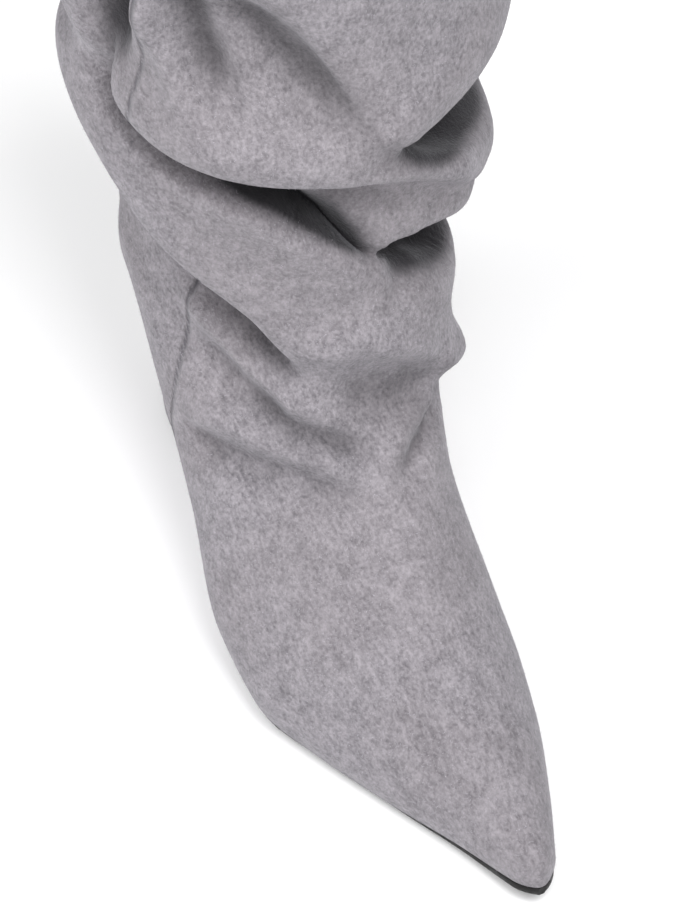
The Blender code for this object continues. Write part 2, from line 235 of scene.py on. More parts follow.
CREASES = (
    Crease("middle roll's lip", 0.0010, 0.0, 0.0120, 0.0050, (
        Mark(-0.446, 11.60, 0.2),
        Mark(-0.373, 11.55, 0.6),
        Mark(-0.288, 11.50, 1.0),
        Mark(-0.198, 11.48, 1.0),
        Mark(-0.131, 11.48, 1.0),
        Mark(-0.056, 11.38, 0.7),
        Mark(0.022, 11.10, 0.4),
        Mark(0.100, 10.90, 0.2),
    )),
    Crease("pocket under the middle roll", -0.0150, 0.0, 0.0090, 0.0024, (
        Mark(-0.450, 11.20, 0.3),
        Mark(-0.400, 11.05, 0.4),
        Mark(-0.340, 10.93, 0.5),
        Mark(-0.285, 10.85, 0.75),
        Mark(-0.240, 10.78, 1.0),
        Mark(-0.200, 10.73, 1.0),
        Mark(-0.175, 10.67, 1.0),
        Mark(-0.140, 10.55, 1.0),
        Mark(-0.110, 10.46, 1.0),
        Mark(-0.070, 10.32, 0.8),
        Mark(-0.030, 10.17, 0.4),
        Mark(0.000, 10.08, 0.1),
    )),
    Crease("hollow over the tongue", -0.0052, 0.0, 0.0070, 0.0110, (
        Mark(-0.100, 11.00, 0.5),
        Mark(-0.060, 10.90, 1.0),
        Mark(-0.010, 10.80, 0.9),
        Mark(0.040, 10.68, 0.6),
        Mark(0.100, 10.55, 0.2),
    )),
    Crease("ankle roll's upper edge", 0.0045, -0.0045, 0.0024, 0.0130, (
        Mark(-0.450, 11.05, 0.1),
        Mark(-0.400, 10.92, 0.2),
        Mark(-0.340, 10.82, 0.4),
        Mark(-0.280, 10.76, 0.7),
        Mark(-0.240, 10.70, 1.0),
        Mark(-0.200, 10.65, 1.0),
        Mark(-0.175, 10.59, 1.0),
        Mark(-0.140, 10.47, 1.0),
        Mark(-0.110, 10.38, 0.95),
        Mark(-0.070, 10.24, 0.9),
        Mark(-0.040, 10.13, 0.8),
        Mark(0.002, 10.02, 0.6),
        Mark(0.070, 9.80, 0.5),
        Mark(0.110, 9.68, 0.5),
        Mark(0.160, 9.46, 0.4),
        Mark(0.210, 9.22, 0.3),
        Mark(0.300, 8.90, 0.1),
    )),
    Crease("tongue's rim", 0.0020, 0.0015, 0.0080, 0.0040, (
        Mark(-0.030, 10.34, 0.3),
        Mark(0.030, 10.28, 0.8),
        Mark(0.093, 10.28, 1.0),
        Mark(0.160, 10.20, 1.0),
        Mark(0.211, 10.08, 1.0),
        Mark(0.315, 9.88, 0.5),
    )),
    # Painted shade only: this line barely dents the cloth, and its shade darkens the inside of the long
    # pocket.
    Crease("dark inside the long pocket", -0.0002, 0.0, 0.0060, 0.0014, (
        Mark(-0.260, 10.80, 0.4),
        Mark(-0.220, 10.74, 1.0),
        Mark(-0.185, 10.68, 1.0),
        Mark(-0.140, 10.54, 1.0),
        Mark(-0.110, 10.45, 1.0),
        Mark(-0.080, 10.34, 0.8),
        Mark(-0.050, 10.23, 0.5),
    ), shade=0.0090),
    # Painted shade only: this line barely dents the cloth, and its shade darkens the inside of the tongue's
    # pocket.
    Crease("dark inside the tongue's pocket", -0.0002, 0.0, 0.0060, 0.0060, (
        Mark(0.080, 9.86, 0.5),
        Mark(0.140, 9.66, 1.0),
        Mark(0.190, 9.43, 1.0),
        Mark(0.240, 9.20, 1.0),
        Mark(0.300, 8.98, 1.0),
        Mark(0.360, 8.80, 0.8),
    ), shade=0.0035),
    Crease("tongue's inner bulge", 0.0032, 0.0, 0.0090, 0.0080, (
        Mark(0.150, 10.40, 0.2),
        Mark(0.190, 10.28, 0.7),
        Mark(0.240, 10.14, 1.0),
        Mark(0.300, 10.02, 1.0),
        Mark(0.380, 9.90, 0.3),
    )),
    Crease("pocket under the tongue", -0.0150, 0.0, 0.0075, 0.0080, (
        Mark(0.010, 10.12, 0.2),
        Mark(0.040, 10.06, 0.6),
        Mark(0.075, 9.97, 0.9),
        Mark(0.110, 9.89, 1.0),
        Mark(0.140, 9.81, 1.0),
        Mark(0.180, 9.66, 1.0),
        Mark(0.230, 9.48, 0.9),
        Mark(0.290, 9.25, 0.6),
        Mark(0.380, 9.02, 0.3),
        Mark(0.480, 8.95, 0.1),
    )),
    Crease("drape's long valley", -0.0074, 0.0, 0.0120, 0.0080, (
        Mark(-0.222, 13.00, 0.8),
        Mark(-0.208, 12.75, 0.9),
        Mark(-0.190, 12.50, 1.0),
        Mark(-0.151, 12.28, 1.0),
        Mark(-0.104, 12.04, 1.0),
        Mark(-0.062, 11.87, 0.9),
        Mark(-0.028, 11.74, 0.6),
        Mark(-0.002, 11.63, 0.2),
    )),
    Crease("drape's outer trough", -0.0078, 0.0, 0.0080, 0.0070, (
        Mark(-0.300, 13.00, 0.4),
        Mark(-0.287, 12.70, 0.8),
        Mark(-0.274, 12.48, 1.0),
        Mark(-0.262, 12.28, 1.0),
        Mark(-0.246, 12.08, 1.0),
        Mark(-0.226, 11.90, 0.7),
        Mark(-0.208, 11.76, 0.3),
    )),
    Crease("drape's outer ridge", 0.0050, 0.0, 0.0120, 0.0060, (
        Mark(-0.332, 12.95, 0.4),
        Mark(-0.324, 12.50, 0.9),
        Mark(-0.308, 12.20, 1.0),
        Mark(-0.288, 11.95, 0.8),
        Mark(-0.264, 11.72, 0.3),
    )),
    Crease("outer hollow", -0.0115, 0.0, 0.0090, 0.0095, (
        Mark(-0.400, 12.90, 0.5),
        Mark(-0.400, 12.50, 0.9),
        Mark(-0.405, 12.20, 1.0),
        Mark(-0.407, 12.00, 1.0),
        Mark(-0.412, 11.85, 0.8),
        Mark(-0.420, 11.70, 0.4),
        Mark(-0.430, 11.50, 0.1),
    )),
    Crease("fold beside the outer hollow", 0.0040, 0.0, 0.0060, 0.0040, (
        Mark(-0.290, 12.90, 0.5),
        Mark(-0.310, 12.60, 0.9),
        Mark(-0.332, 12.35, 1.0),
        Mark(-0.358, 12.10, 1.0),
        Mark(-0.385, 11.92, 0.9),
        Mark(-0.400, 11.78, 0.6),
        Mark(-0.412, 11.62, 0.2),
    )),
    Crease("outer strip's edge", -0.0060, 0.0, 0.0050, 0.0050, (
        Mark(-0.465, 12.30, 0.4),
        Mark(-0.455, 12.00, 0.7),
        Mark(-0.450, 11.70, 0.8),
        Mark(-0.435, 11.25, 0.9),
        Mark(-0.390, 11.10, 0.9),
        Mark(-0.340, 11.05, 0.5),
    )),
    Crease("top drape's lip", 0.0010, 0.0005, 0.0100, 0.0040, (
        Mark(-0.040, 11.72, 0.5),
        Mark(0.007, 11.66, 1.0),
        Mark(0.031, 11.68, 1.0),
        Mark(0.067, 11.74, 1.0),
        Mark(0.106, 11.79, 1.0),
        Mark(0.170, 11.77, 0.8),
        Mark(0.260, 11.72, 0.4),
    )),
    Crease("pocket under the top drape", -0.0175, 0.0, 0.0090, 0.0080, (
        Mark(0.015, 11.44, 0.3),
        Mark(0.045, 11.38, 0.6),
        Mark(0.080, 11.32, 0.9),
        Mark(0.120, 11.25, 1.0),
        Mark(0.160, 11.17, 1.0),
        Mark(0.210, 11.05, 0.95),
        Mark(0.280, 10.90, 0.65),
        Mark(0.360, 10.72, 0.35),
        Mark(0.450, 10.60, 0.1),
    )),
    # Painted shade only: this line barely dents the cloth, and its shade darkens the inside of the pocket
    # under the top drape.
    Crease("dark inside the top pocket", -0.0002, 0.0, 0.0070, 0.0055, (
        Mark(0.080, 11.22, 0.3),
        Mark(0.110, 11.17, 0.8),
        Mark(0.140, 11.09, 1.0),
        Mark(0.200, 10.95, 1.0),
        Mark(0.250, 10.85, 1.0),
        Mark(0.300, 10.72, 1.0),
        Mark(0.360, 10.60, 1.0),
        Mark(0.420, 10.50, 0.6),
    ), shade=0.0060),
    Crease("middle roll's upper edge", 0.0030, -0.0020, 0.0030, 0.0120, (
        Mark(0.020, 11.25, 0.2),
        Mark(0.060, 11.18, 0.6),
        Mark(0.100, 11.10, 0.9),
        Mark(0.160, 10.93, 0.9),
        Mark(0.210, 10.80, 0.6),
        Mark(0.280, 10.62, 0.2),
    )),
    Crease("ankle roll's lip", 0.0015, 0.0, 0.0100, 0.0050, (
        Mark(-0.430, 10.45, 0.3),
        Mark(-0.374, 10.33, 0.8),
        Mark(-0.328, 10.18, 1.0),
        Mark(-0.298, 10.05, 1.0),
        Mark(-0.262, 9.85, 1.0),
        Mark(-0.231, 9.50, 1.0),
        Mark(-0.206, 8.95, 1.0),
        Mark(-0.179, 8.50, 0.6),
        Mark(-0.160, 8.20, 0.2),
    )),
    Crease("valley under the ankle roll", -0.0072, 0.0, 0.0050, 0.0060, (
        Mark(-0.420, 9.50, 0.2),
        Mark(-0.380, 9.05, 0.6),
        Mark(-0.330, 8.78, 1.0),
        Mark(-0.290, 8.58, 1.0),
        Mark(-0.257, 8.44, 1.0),
        Mark(-0.220, 8.30, 0.9),
        Mark(-0.190, 8.18, 0.5),
        Mark(-0.160, 8.05, 0.1),
    )),
    Crease("upper instep ridge", 0.0042, 0.0, 0.0055, 0.0055, (
        Mark(-0.410, 8.32, 0.2),
        Mark(-0.375, 8.26, 0.8),
        Mark(-0.319, 8.16, 1.0),
        Mark(-0.277, 8.02, 1.0),
        Mark(-0.232, 7.96, 1.0),
        Mark(-0.169, 7.92, 0.9),
        Mark(-0.131, 7.80, 0.6),
        Mark(-0.090, 7.70, 0.2),
    )),
    Crease("outer instep hollow", -0.0045, 0.0, 0.0060, 0.0070, (
        Mark(-0.400, 7.50, 0.3),
        Mark(-0.370, 7.56, 0.8),
        Mark(-0.340, 7.60, 1.0),
        Mark(-0.299, 7.58, 1.0),
        Mark(-0.272, 7.44, 0.5),
        Mark(-0.255, 7.34, 0.1),
    )),
    Crease("upper instep valley", -0.0062, 0.0, 0.0045, 0.0065, (
        Mark(-0.275, 7.78, 0.1),
        Mark(-0.262, 7.72, 0.4),
        Mark(-0.245, 7.65, 0.8),
        Mark(-0.220, 7.56, 1.0),
        Mark(-0.183, 7.50, 1.0),
        Mark(-0.133, 7.47, 1.0),
        Mark(-0.090, 7.45, 0.8),
        Mark(-0.040, 7.40, 0.3),
    )),
    Crease("lower instep ridge", 0.0040, 0.0, 0.0055, 0.0055, (
        Mark(-0.450, 5.85, 0.2),
        Mark(-0.430, 6.06, 0.5),
        Mark(-0.385, 6.50, 0.9),
        Mark(-0.347, 6.80, 1.0),
        Mark(-0.273, 7.17, 1.0),
        Mark(-0.210, 7.24, 1.0),
        Mark(-0.147, 7.21, 1.0),
        Mark(-0.104, 7.12, 0.6),
        Mark(-0.060, 7.05, 0.2),
    )),
    Crease("lower instep valley", -0.0052, 0.0, 0.0050, 0.0080, (
        Mark(-0.455, 5.45, 0.2),
        Mark(-0.424, 5.83, 0.8),
        Mark(-0.385, 6.15, 1.0),
        Mark(-0.345, 6.44, 1.0),
        Mark(-0.300, 6.66, 1.0),
        Mark(-0.260, 6.80, 1.0),
        Mark(-0.213, 6.86, 1.0),
        Mark(-0.158, 6.90, 0.9),
        Mark(-0.100, 6.88, 0.4),
        Mark(-0.060, 6.85, 0.1),
    )),
    Crease("arched ridge", 0.0042, 0.0, 0.0055, 0.0055, (
        Mark(-0.170, 8.80, 0.2),
        Mark(-0.135, 9.00, 0.6),
        Mark(-0.103, 9.10, 0.9),
        Mark(-0.052, 9.22, 1.0),
        Mark(0.008, 8.98, 1.0),
        Mark(0.060, 8.60, 1.0),
        Mark(0.120, 8.16, 1.0),
        Mark(0.170, 7.90, 1.0),
        Mark(0.219, 7.70, 0.8),
        Mark(0.270, 7.55, 0.4),
    )),
    Crease("hollow under the arched ridge", -0.0062, 0.0, 0.0120, 0.0095, (
        Mark(-0.135, 8.15, 0.2),
        Mark(-0.100, 8.06, 0.6),
        Mark(-0.060, 8.04, 1.0),
        Mark(-0.020, 8.02, 1.0),
        Mark(0.030, 7.98, 1.0),
        Mark(0.080, 7.94, 1.0),
        Mark(0.125, 7.88, 0.9),
        Mark(0.180, 7.72, 0.4),
    )),
    Crease("inner knob", 0.0005, 0.0, 0.0060, 0.0060, (
        Mark(0.170, 7.95, 0.5),
        Mark(0.220, 7.75, 1.0),
        Mark(0.270, 7.50, 1.0),
        Mark(0.340, 7.30, 0.4),
    )),
    Crease("notch under the knob", -0.0040, 0.0, 0.0050, 0.0060, (
        Mark(0.180, 7.25, 0.5),
        Mark(0.230, 7.10, 1.0),
        Mark(0.300, 6.95, 1.0),
        Mark(0.400, 6.80, 0.4),
    )),
    Crease("ridge from the notch", 0.0034, 0.0, 0.0040, 0.0045, (
        Mark(0.233, 7.15, 0.4),
        Mark(0.160, 7.42, 0.8),
        Mark(0.100, 7.49, 1.0),
        Mark(0.050, 7.51, 1.0),
        Mark(0.015, 7.45, 1.0),
        Mark(-0.009, 7.30, 0.7),
        Mark(-0.018, 7.10, 0.2),
    )),
    Crease("valley beside the notch", -0.0050, 0.0, 0.0040, 0.0055, (
        Mark(0.190, 7.15, 0.5),
        Mark(0.150, 7.24, 0.9),
        Mark(0.090, 7.34, 1.0),
        Mark(0.045, 7.28, 1.0),
        Mark(0.010, 7.14, 0.8),
        Mark(-0.007, 6.90, 0.3),
    )),
    Crease("vamp's centre ridge", 0.0012, 0.0, 0.0050, 0.0070, (
        Mark(0.000, 7.20, 0.3),
        Mark(-0.009, 6.80, 0.8),
        Mark(-0.015, 6.37, 1.0),
        Mark(-0.027, 5.71, 1.0),
        Mark(-0.045, 4.82, 1.0),
        Mark(-0.037, 4.02, 1.0),
        Mark(-0.021, 3.27, 0.8),
        Mark(0.000, 2.40, 0.3),
    )),
    Crease("inner flank", -0.0015, 0.0, 0.0100, 0.0100, (
        Mark(0.160, 7.00, 0.4),
        Mark(0.158, 6.60, 0.8),
        Mark(0.125, 6.05, 1.0),
        Mark(0.100, 5.24, 0.8),
        Mark(0.070, 4.40, 0.3),
    )),
    Crease("heel tendon fold", -0.0035, 0.0, 0.0070, 0.0060, (
        Mark(-0.720, 9.50, 0.2),
        Mark(-0.860, 9.30, 0.9),
        Mark(-1.000, 9.20, 1.0),
        Mark(-1.150, 9.35, 0.9),
        Mark(-1.320, 9.55, 0.2),
    )),
    Crease("heel tendon lip", 0.0030, 0.0020, 0.0090, 0.0050, (
        Mark(-0.700, 9.95, 0.2),
        Mark(-0.860, 9.75, 0.9),
        Mark(-1.000, 9.68, 1.0),
        Mark(-1.150, 9.80, 0.9),
        Mark(-1.320, 10.00, 0.2),
    )),
    Crease("inner back pocket", -0.0030, 0.0, 0.0100, 0.0120, (
        Mark(0.480, 10.60, 0.2),
        Mark(0.580, 10.75, 0.9),
        Mark(0.690, 10.95, 1.0),
        Mark(0.820, 11.10, 0.7),
        Mark(0.940, 11.15, 0.2),
    )),
    Crease("outer back pocket", -0.0070, 0.0, 0.0060, 0.0070, (
        Mark(-0.560, 11.40, 0.3),
        Mark(-0.680, 11.35, 1.0),
        Mark(-0.800, 11.25, 0.8),
        Mark(-0.920, 11.20, 0.2),
    )),
    Crease("inner slanting valley", -0.0040, 0.0, 0.0080, 0.0080, (
        Mark(0.420, 12.80, 0.3),
        Mark(0.500, 12.40, 0.9),
        Mark(0.590, 12.05, 1.0),
        Mark(0.700, 11.80, 0.4),
    )),
    Crease("inner ankle valley", -0.0035, 0.0, 0.0060, 0.0080, (
        Mark(0.380, 8.60, 0.3),
        Mark(0.460, 8.75, 0.9),
        Mark(0.560, 9.00, 1.0),
        Mark(0.680, 9.25, 0.3),
    )),
    Crease("back slanting ridge", 0.0030, 0.0, 0.0090, 0.0090, (
        Mark(-0.760, 12.60, 0.2),
        Mark(-0.880, 12.30, 0.9),
        Mark(-1.000, 12.05, 1.0),
        Mark(-1.140, 11.90, 0.3),
    )),
)

SIDE_SEAMS = {
    "lower outer seam": (
        Mark(-0.300, 9.95, 1.0),
        Mark(-0.345, 9.30, 1.0),
        Mark(-0.383, 8.66, 1.0),
        Mark(-0.400, 7.95, 1.0),
        Mark(-0.433, 6.94, 1.0),
        Mark(-0.483, 5.51, 1.0),
        Mark(-0.514, 4.70, 1.0),
        Mark(-0.535, 3.60, 1.0),
        Mark(-0.550, 2.00, 1.0),
        Mark(-0.555, 0.00, 1.0),
    ),
    "upper outer seam": (
        Mark(-0.376, 11.20, 1.0),
        Mark(-0.365, 11.47, 1.0),
        Mark(-0.355, 11.72, 1.0),
        Mark(-0.344, 11.91, 1.0),
        Mark(-0.331, 12.20, 1.0),
        Mark(-0.321, 13.00, 1.0),
    ),
    "inner seam": (
        Mark(0.555, 0.00, 1.0),
        Mark(0.550, 2.00, 1.0),
        Mark(0.530, 4.00, 1.0),
        Mark(0.500, 6.00, 1.0),
        Mark(0.480, 8.00, 1.0),
        Mark(0.480, 10.00, 1.0),
        Mark(0.480, 13.00, 1.0),
    ),
}


def through(xs: Sequence[float], ys: Sequence[float], x: np.ndarray) -> np.ndarray:
    """Runs a smooth curve through a short table without overshooting its rows.

    Args:
        xs: The rows' places, rising.
        ys: The rows' values.
        x: Where the curve is wanted.

    Returns:
        The curve's values at x.
    """
    xs, ys = np.asarray(xs, float), np.asarray(ys, float)
    step = np.diff(xs)
    slope = np.diff(ys) / step
    tangent = np.zeros(len(xs))
    tangent[0], tangent[-1] = slope[0], slope[-1]
    for i in range(1, len(xs) - 1):
        if slope[i - 1] * slope[i] > 0:
            near, far = 2 * step[i] + step[i - 1], step[i] + 2 * step[i - 1]
            tangent[i] = (near + far) / (near / slope[i - 1] + far / slope[i])
    x = np.clip(np.asarray(x, float), xs[0], xs[-1])
    i = np.clip(np.searchsorted(xs, x, side="right") - 1, 0, len(xs) - 2)
    t = (x - xs[i]) / step[i]
    start = (1 + 2 * t) * (1 - t) ** 2 * ys[i] + t * (1 - t) ** 2 * step[i] * tangent[i]
    return start + t * t * (3 - 2 * t) * ys[i + 1] + t * t * (t - 1) * step[i] * tangent[i + 1]


def rounding(distance: np.ndarray, reach: float) -> np.ndarray:
    """Gives a quarter round: 0 at an edge, 1 from reach inwards."""
    t = np.clip(distance / reach, 0, 1)
    return np.sqrt(np.clip(1 - (1 - t) ** 2, 0, 1))


def unit(vectors: np.ndarray) -> np.ndarray:
    """Scales vectors to length one."""
    return vectors / np.maximum(np.linalg.norm(vectors, axis=-1, keepdims=True), 1e-12)


def facing_out(points: np.ndarray) -> np.ndarray:
    """Gives the outward directions of a grid of closed rings.

    Args:
        points: Rings by points by three.

    Returns:
        Unit vectors, one per point.
    """
    along = np.roll(points, -1, axis=1) - np.roll(points, 1, axis=1)
    return unit(np.cross(along, np.gradient(points, axis=0)))


def eased(grid: np.ndarray) -> np.ndarray:
    """Averages each point of a grid of closed rings with its neighbours.

    Args:
        grid: Rings by points by three.

    Returns:
        The eased grid.
    """
    wide = (np.roll(grid, 1, axis=1) + grid + np.roll(grid, -1, axis=1)) / 3
    wide[1:-1] = (wide[:-2] + wide[1:-1] + wide[2:]) / 3
    return wide


@dataclass
class Last:
    """The foot form and the shaft on it, in the solids' sizes but for a higher middle roll."""

    length: float = 0.256
    ball_width: float = 0.083
    heel_rise: float = 0.074
    ankle_front: float = 0.120
    ankle_back: float = 0.138
    collar: float = 0.268
    shaft_width: float = 0.116
    heel_round: float = 0.036
    toe_round: float = 0.006
    outsole: float = 0.003
    insole: float = 0.0025
    wall: float = 0.0024
    gap: float = 0.0003
    heel_seat: float = 0.046
    full_reach: float = 0.05
    crown_start: float = 0.22
    wall_tuck: float = 0.10
    far_slope: float = 1.25
    ankle_row: int = 9
    ridge_steps: int = 200
    edge_steps: int = 120
    sections: tuple[FootSection, ...] = FOOT_SECTIONS
    rings: tuple[UpperRing, ...] = UPPER_RINGS
    rolls: tuple[Roll, ...] = ROLLS

    def foot(self, column: str, x: np.ndarray) -> np.ndarray:
        """Reads a column of the foot's table at distance x from the heel's back."""
        places = [s.along for s in self.sections]
        return through(places, [getattr(s, column) for s in self.sections], np.asarray(x) / self.length)

    def ring(self, column: str, level: np.ndarray) -> np.ndarray:
        """Reads a column of the ring table at a level, counted in rows."""
        return through(range(len(self.rings)), [getattr(r, column) for r in self.rings], level)

    def footbed(self, x: np.ndarray) -> np.ndarray:
        """Gives the height of the surface that upper and insole stand on."""
        return self.outsole + self.gap + self.heel_rise * self.foot("rise", x)

    def climb(self, share: np.ndarray, low: np.ndarray, ankle: float) -> np.ndarray:
        """Turns a share of 0 at the footbed, 1 at the ankle, 2 at the collar into a height."""
        upper = np.clip(share - 1, 0, 1) * (self.collar - ankle)
        return low + np.clip(share, 0, 1) * (ankle - low) + upper

    def ring_ends(self, level: np.ndarray) -> tuple[np.ndarray, ...]:
        """Finds where rings cross the shoe's middle.

        Args:
            level: Levels of the rings.

        Returns:
            Front x, front z, back x and back z.
        """
        front_x, back_x = self.ring("front", level) * self.length, self.ring("back", level) * self.length
        front_z = self.climb(self.ring("front_up", level), self.footbed(front_x) + self.gap, self.ankle_front)
        back_z = self.climb(self.ring("back_up", level), self.footbed(back_x) + self.gap, self.ankle_back)
        return front_x, front_z, back_x, back_z

    def ridge_height(self, x: np.ndarray) -> np.ndarray:
        """Gives the height of the vamp's ridge, with a steep line behind the ankle.

        Args:
            x: Distances from the heel's back.

        Returns:
            Heights above the floor.
        """
        front_x, front_z, _, _ = self.ring_ends(np.linspace(0, self.ankle_row, self.ridge_steps))
        x_line, z_line = front_x[::-1], front_z[::-1]
        beyond = x_line[0] - np.asarray(x)
        on_ridge = np.interp(x, x_line, z_line)
        return np.where(beyond > 0, z_line[0] + self.far_slope * beyond, on_ridge)

    def smooth_side(self, level: np.ndarray, share: np.ndarray, side: Side) -> np.ndarray:
        """Makes one side of the upper without its rolls.

        Args:
            level: Levels of the rings.
            share: Places along each ring, 0 at the back, 1 at the front.
            side: Which side.

        Returns:
            Rings by points by three.
        """
        front_x, front_z, back_x, back_z = (v[:, None] for v in self.ring_ends(level))
        tube = self.ring("tube", level)[:, None]
        x = back_x + (front_x - back_x) * share
        low = self.footbed(x)
        straight = self.footbed(back_x) + (self.footbed(front_x) - self.footbed(back_x)) * share
        z = back_z + (front_z - back_z) * share + (1 - tube) * (low - straight)
        up = np.clip((z - low) / np.maximum(self.ridge_height(x) - low, 1e-4), 0, 1)
        crown = np.clip((up - self.crown_start) / (1 - self.crown_start), 0, 1)
        crowned = np.sqrt(np.clip(1 - crown ** self.foot("fullness", x), 0, 1))
        tucked = 1 - self.wall_tuck * np.clip((self.crown_start - up) / self.crown_start, 0, 1) ** 2
        fill = np.where(up > self.crown_start, crowned, tucked)
        fill = fill * rounding(x - back_x, self.heel_round) * rounding(self.length - x, self.toe_round)
        rise = np.clip(z - low, 0, self.ankle_front / 2)
        turn = np.arccos(np.clip(2 * share - 1, -1, 1))
        round_half = np.sin(turn) * self.ring("half", level)[:, None] * self.shaft_width
        middle = self.foot("ridge", x) * self.ball_width * (1 - tube) * up
        middle = middle + self.ring("aside", level)[:, None] * self.shaft_width * tube
        name = side.name.lower()
        half = (self.foot(name, x) * self.ball_width + self.foot(name + "_lean", x) * rise) * fill
        half = half * (1 - tube) + round_half * tube
        return np.stack([x, middle + side.value * half, z], -1)

    def smooth(self, level: np.ndarray, steps_around: int) -> np.ndarray:
        """Makes closed rings: heel back, lateral side, toe, medial side.

        Args:
            level: Levels of the rings.
            steps_around: Steps along each side.

        Returns:
            Rings by points by three.
        """
        share = (1 - np.cos(np.pi * np.linspace(0, 1, steps_around + 1))) / 2
        lateral = self.smooth_side(level, share, Side.LATERAL)
        medial = self.smooth_side(level, share, Side.MEDIAL)
        return np.concatenate([lateral, medial[:, -2:0:-1]], axis=1)

    def on_crest(self, roll: Roll, column: str, angle: np.ndarray) -> np.ndarray:
        """Reads a column of a roll's crest at any angle round the shaft.

        Args:
            roll: The roll.
            column: The column's name.
            angle: Angles from the toe, in degrees.

        Returns:
            The column's values there.
        """
        angles = [c.angle for c in roll.crest]
        values = [getattr(c, column) for c in roll.crest]
        angles = [angles[-2] - 360, angles[-1] - 360] + angles + [angles[0] + 360, angles[1] + 360]
        values = values[-2:] + values + values[:2]
        return through(angles, values, np.where(angle < angles[1], angle + 360, angle))

    def slouched(self, points: np.ndarray) -> np.ndarray:
        """Pushes the rolls out of the smooth upper and lets them hang.

        Args:
            points: The smooth upper's rings.

        Returns:
            The rings with their rolls.
        """
        out = facing_out(points)
        from_middle = points[..., :2] - points[..., :2].mean(axis=1, keepdims=True)
        angle = np.degrees(np.arctan2(from_middle[..., 1], from_middle[..., 0]))
        height = points[..., 2] / self.collar
        moved = points.copy()
        for roll in self.rolls:
            off = height - self.on_crest(roll, "height", angle)
            bump = np.exp(-((off / np.where(off > 0, roll.above, roll.below)) ** 2))
            reach = self.on_crest(roll, "reach", angle)
            moved += out * (bump * reach * self.shaft_width)[..., None]
            moved[..., 2] -= bump * np.minimum(reach / self.full_reach, 1) * roll.hang * self.collar
        return moved

    def inset_edge(self, inset: float) -> dict[Side, tuple[np.ndarray, np.ndarray]]:
        """Draws the feather edge in by a distance, in plan.

        Args:
            inset: How far.

        Returns:
            For each side, x and half width from the back to the tip.
        """
        steps = self.edge_steps
        edge = self.smooth(np.array([0.0]), steps)[0]
        along = np.roll(edge, -1, axis=0) - np.roll(edge, 1, axis=0)
        along /= np.linalg.norm(along[:, :2], axis=1, keepdims=True)
        x, y = edge[:, 0] - along[:, 1] * inset, edge[:, 1] + along[:, 0] * inset
        near = np.arange(steps + 1)
        far = np.concatenate([[0], np.arange(2 * steps - 1, steps - 1, -1)])
        return {Side.LATERAL: (x[near], -y[near]), Side.MEDIAL: (x[far], y[far])}


# Meshes


def new_piece(
    name: str,
    vertices: np.ndarray,
    faces: Sequence[Sequence[int]],
    finish: bpy.types.Material,
    sharp: Optional[float] = None,
) -> bpy.types.Object:
    """Makes a smooth-shaded object in the scene.

    Args:
        name: The piece's name.
        vertices: Points, measured from the heel's back.
        faces: Corner numbers of each face.
        finish: Its material.
        sharp: Angle past which an edge stays sharp, if any.

    Returns:
        The object.
    """
    mesh = bpy.data.meshes.new(name)
    mesh.from_pydata(np.asarray(vertices, float).tolist(), [], faces)
    mesh.update()
    mesh.shade_smooth()
    if sharp is not None:
        mesh.set_sharp_from_angle(angle=sharp)
    made = bpy.data.objects.new(name, mesh)
    made.data.materials.append(finish)
    bpy.context.scene.collection.objects.link(made)
    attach(made, "root")
    return made


def note(made: bpy.types.Object, name: str, values: np.ndarray) -> None:
    """Writes a number at each of a piece's points, for its finish to read.

    Args:
        made: The piece.
        name: What the number is called.
        values: A number for each point.
    """
    attribute = made.data.attributes.new(name, "FLOAT", "POINT")
    attribute.data.foreach_set("value", values)


def ring_faces(rings: int, count: int) -> list[tuple[int, int, int, int]]:
    """Lists the quads between neighbouring closed rings.

    Args:
        rings: How many rings there are.
        count: Points in each.

    Returns:
        Corner numbers of each quad.
    """
    faces = []
    for i in range(rings - 1):
        for j in range(count):
            k = (j + 1) % count
            faces.append((i * count + j, i * count + k, (i + 1) * count + k, (i + 1) * count + j))
    return faces


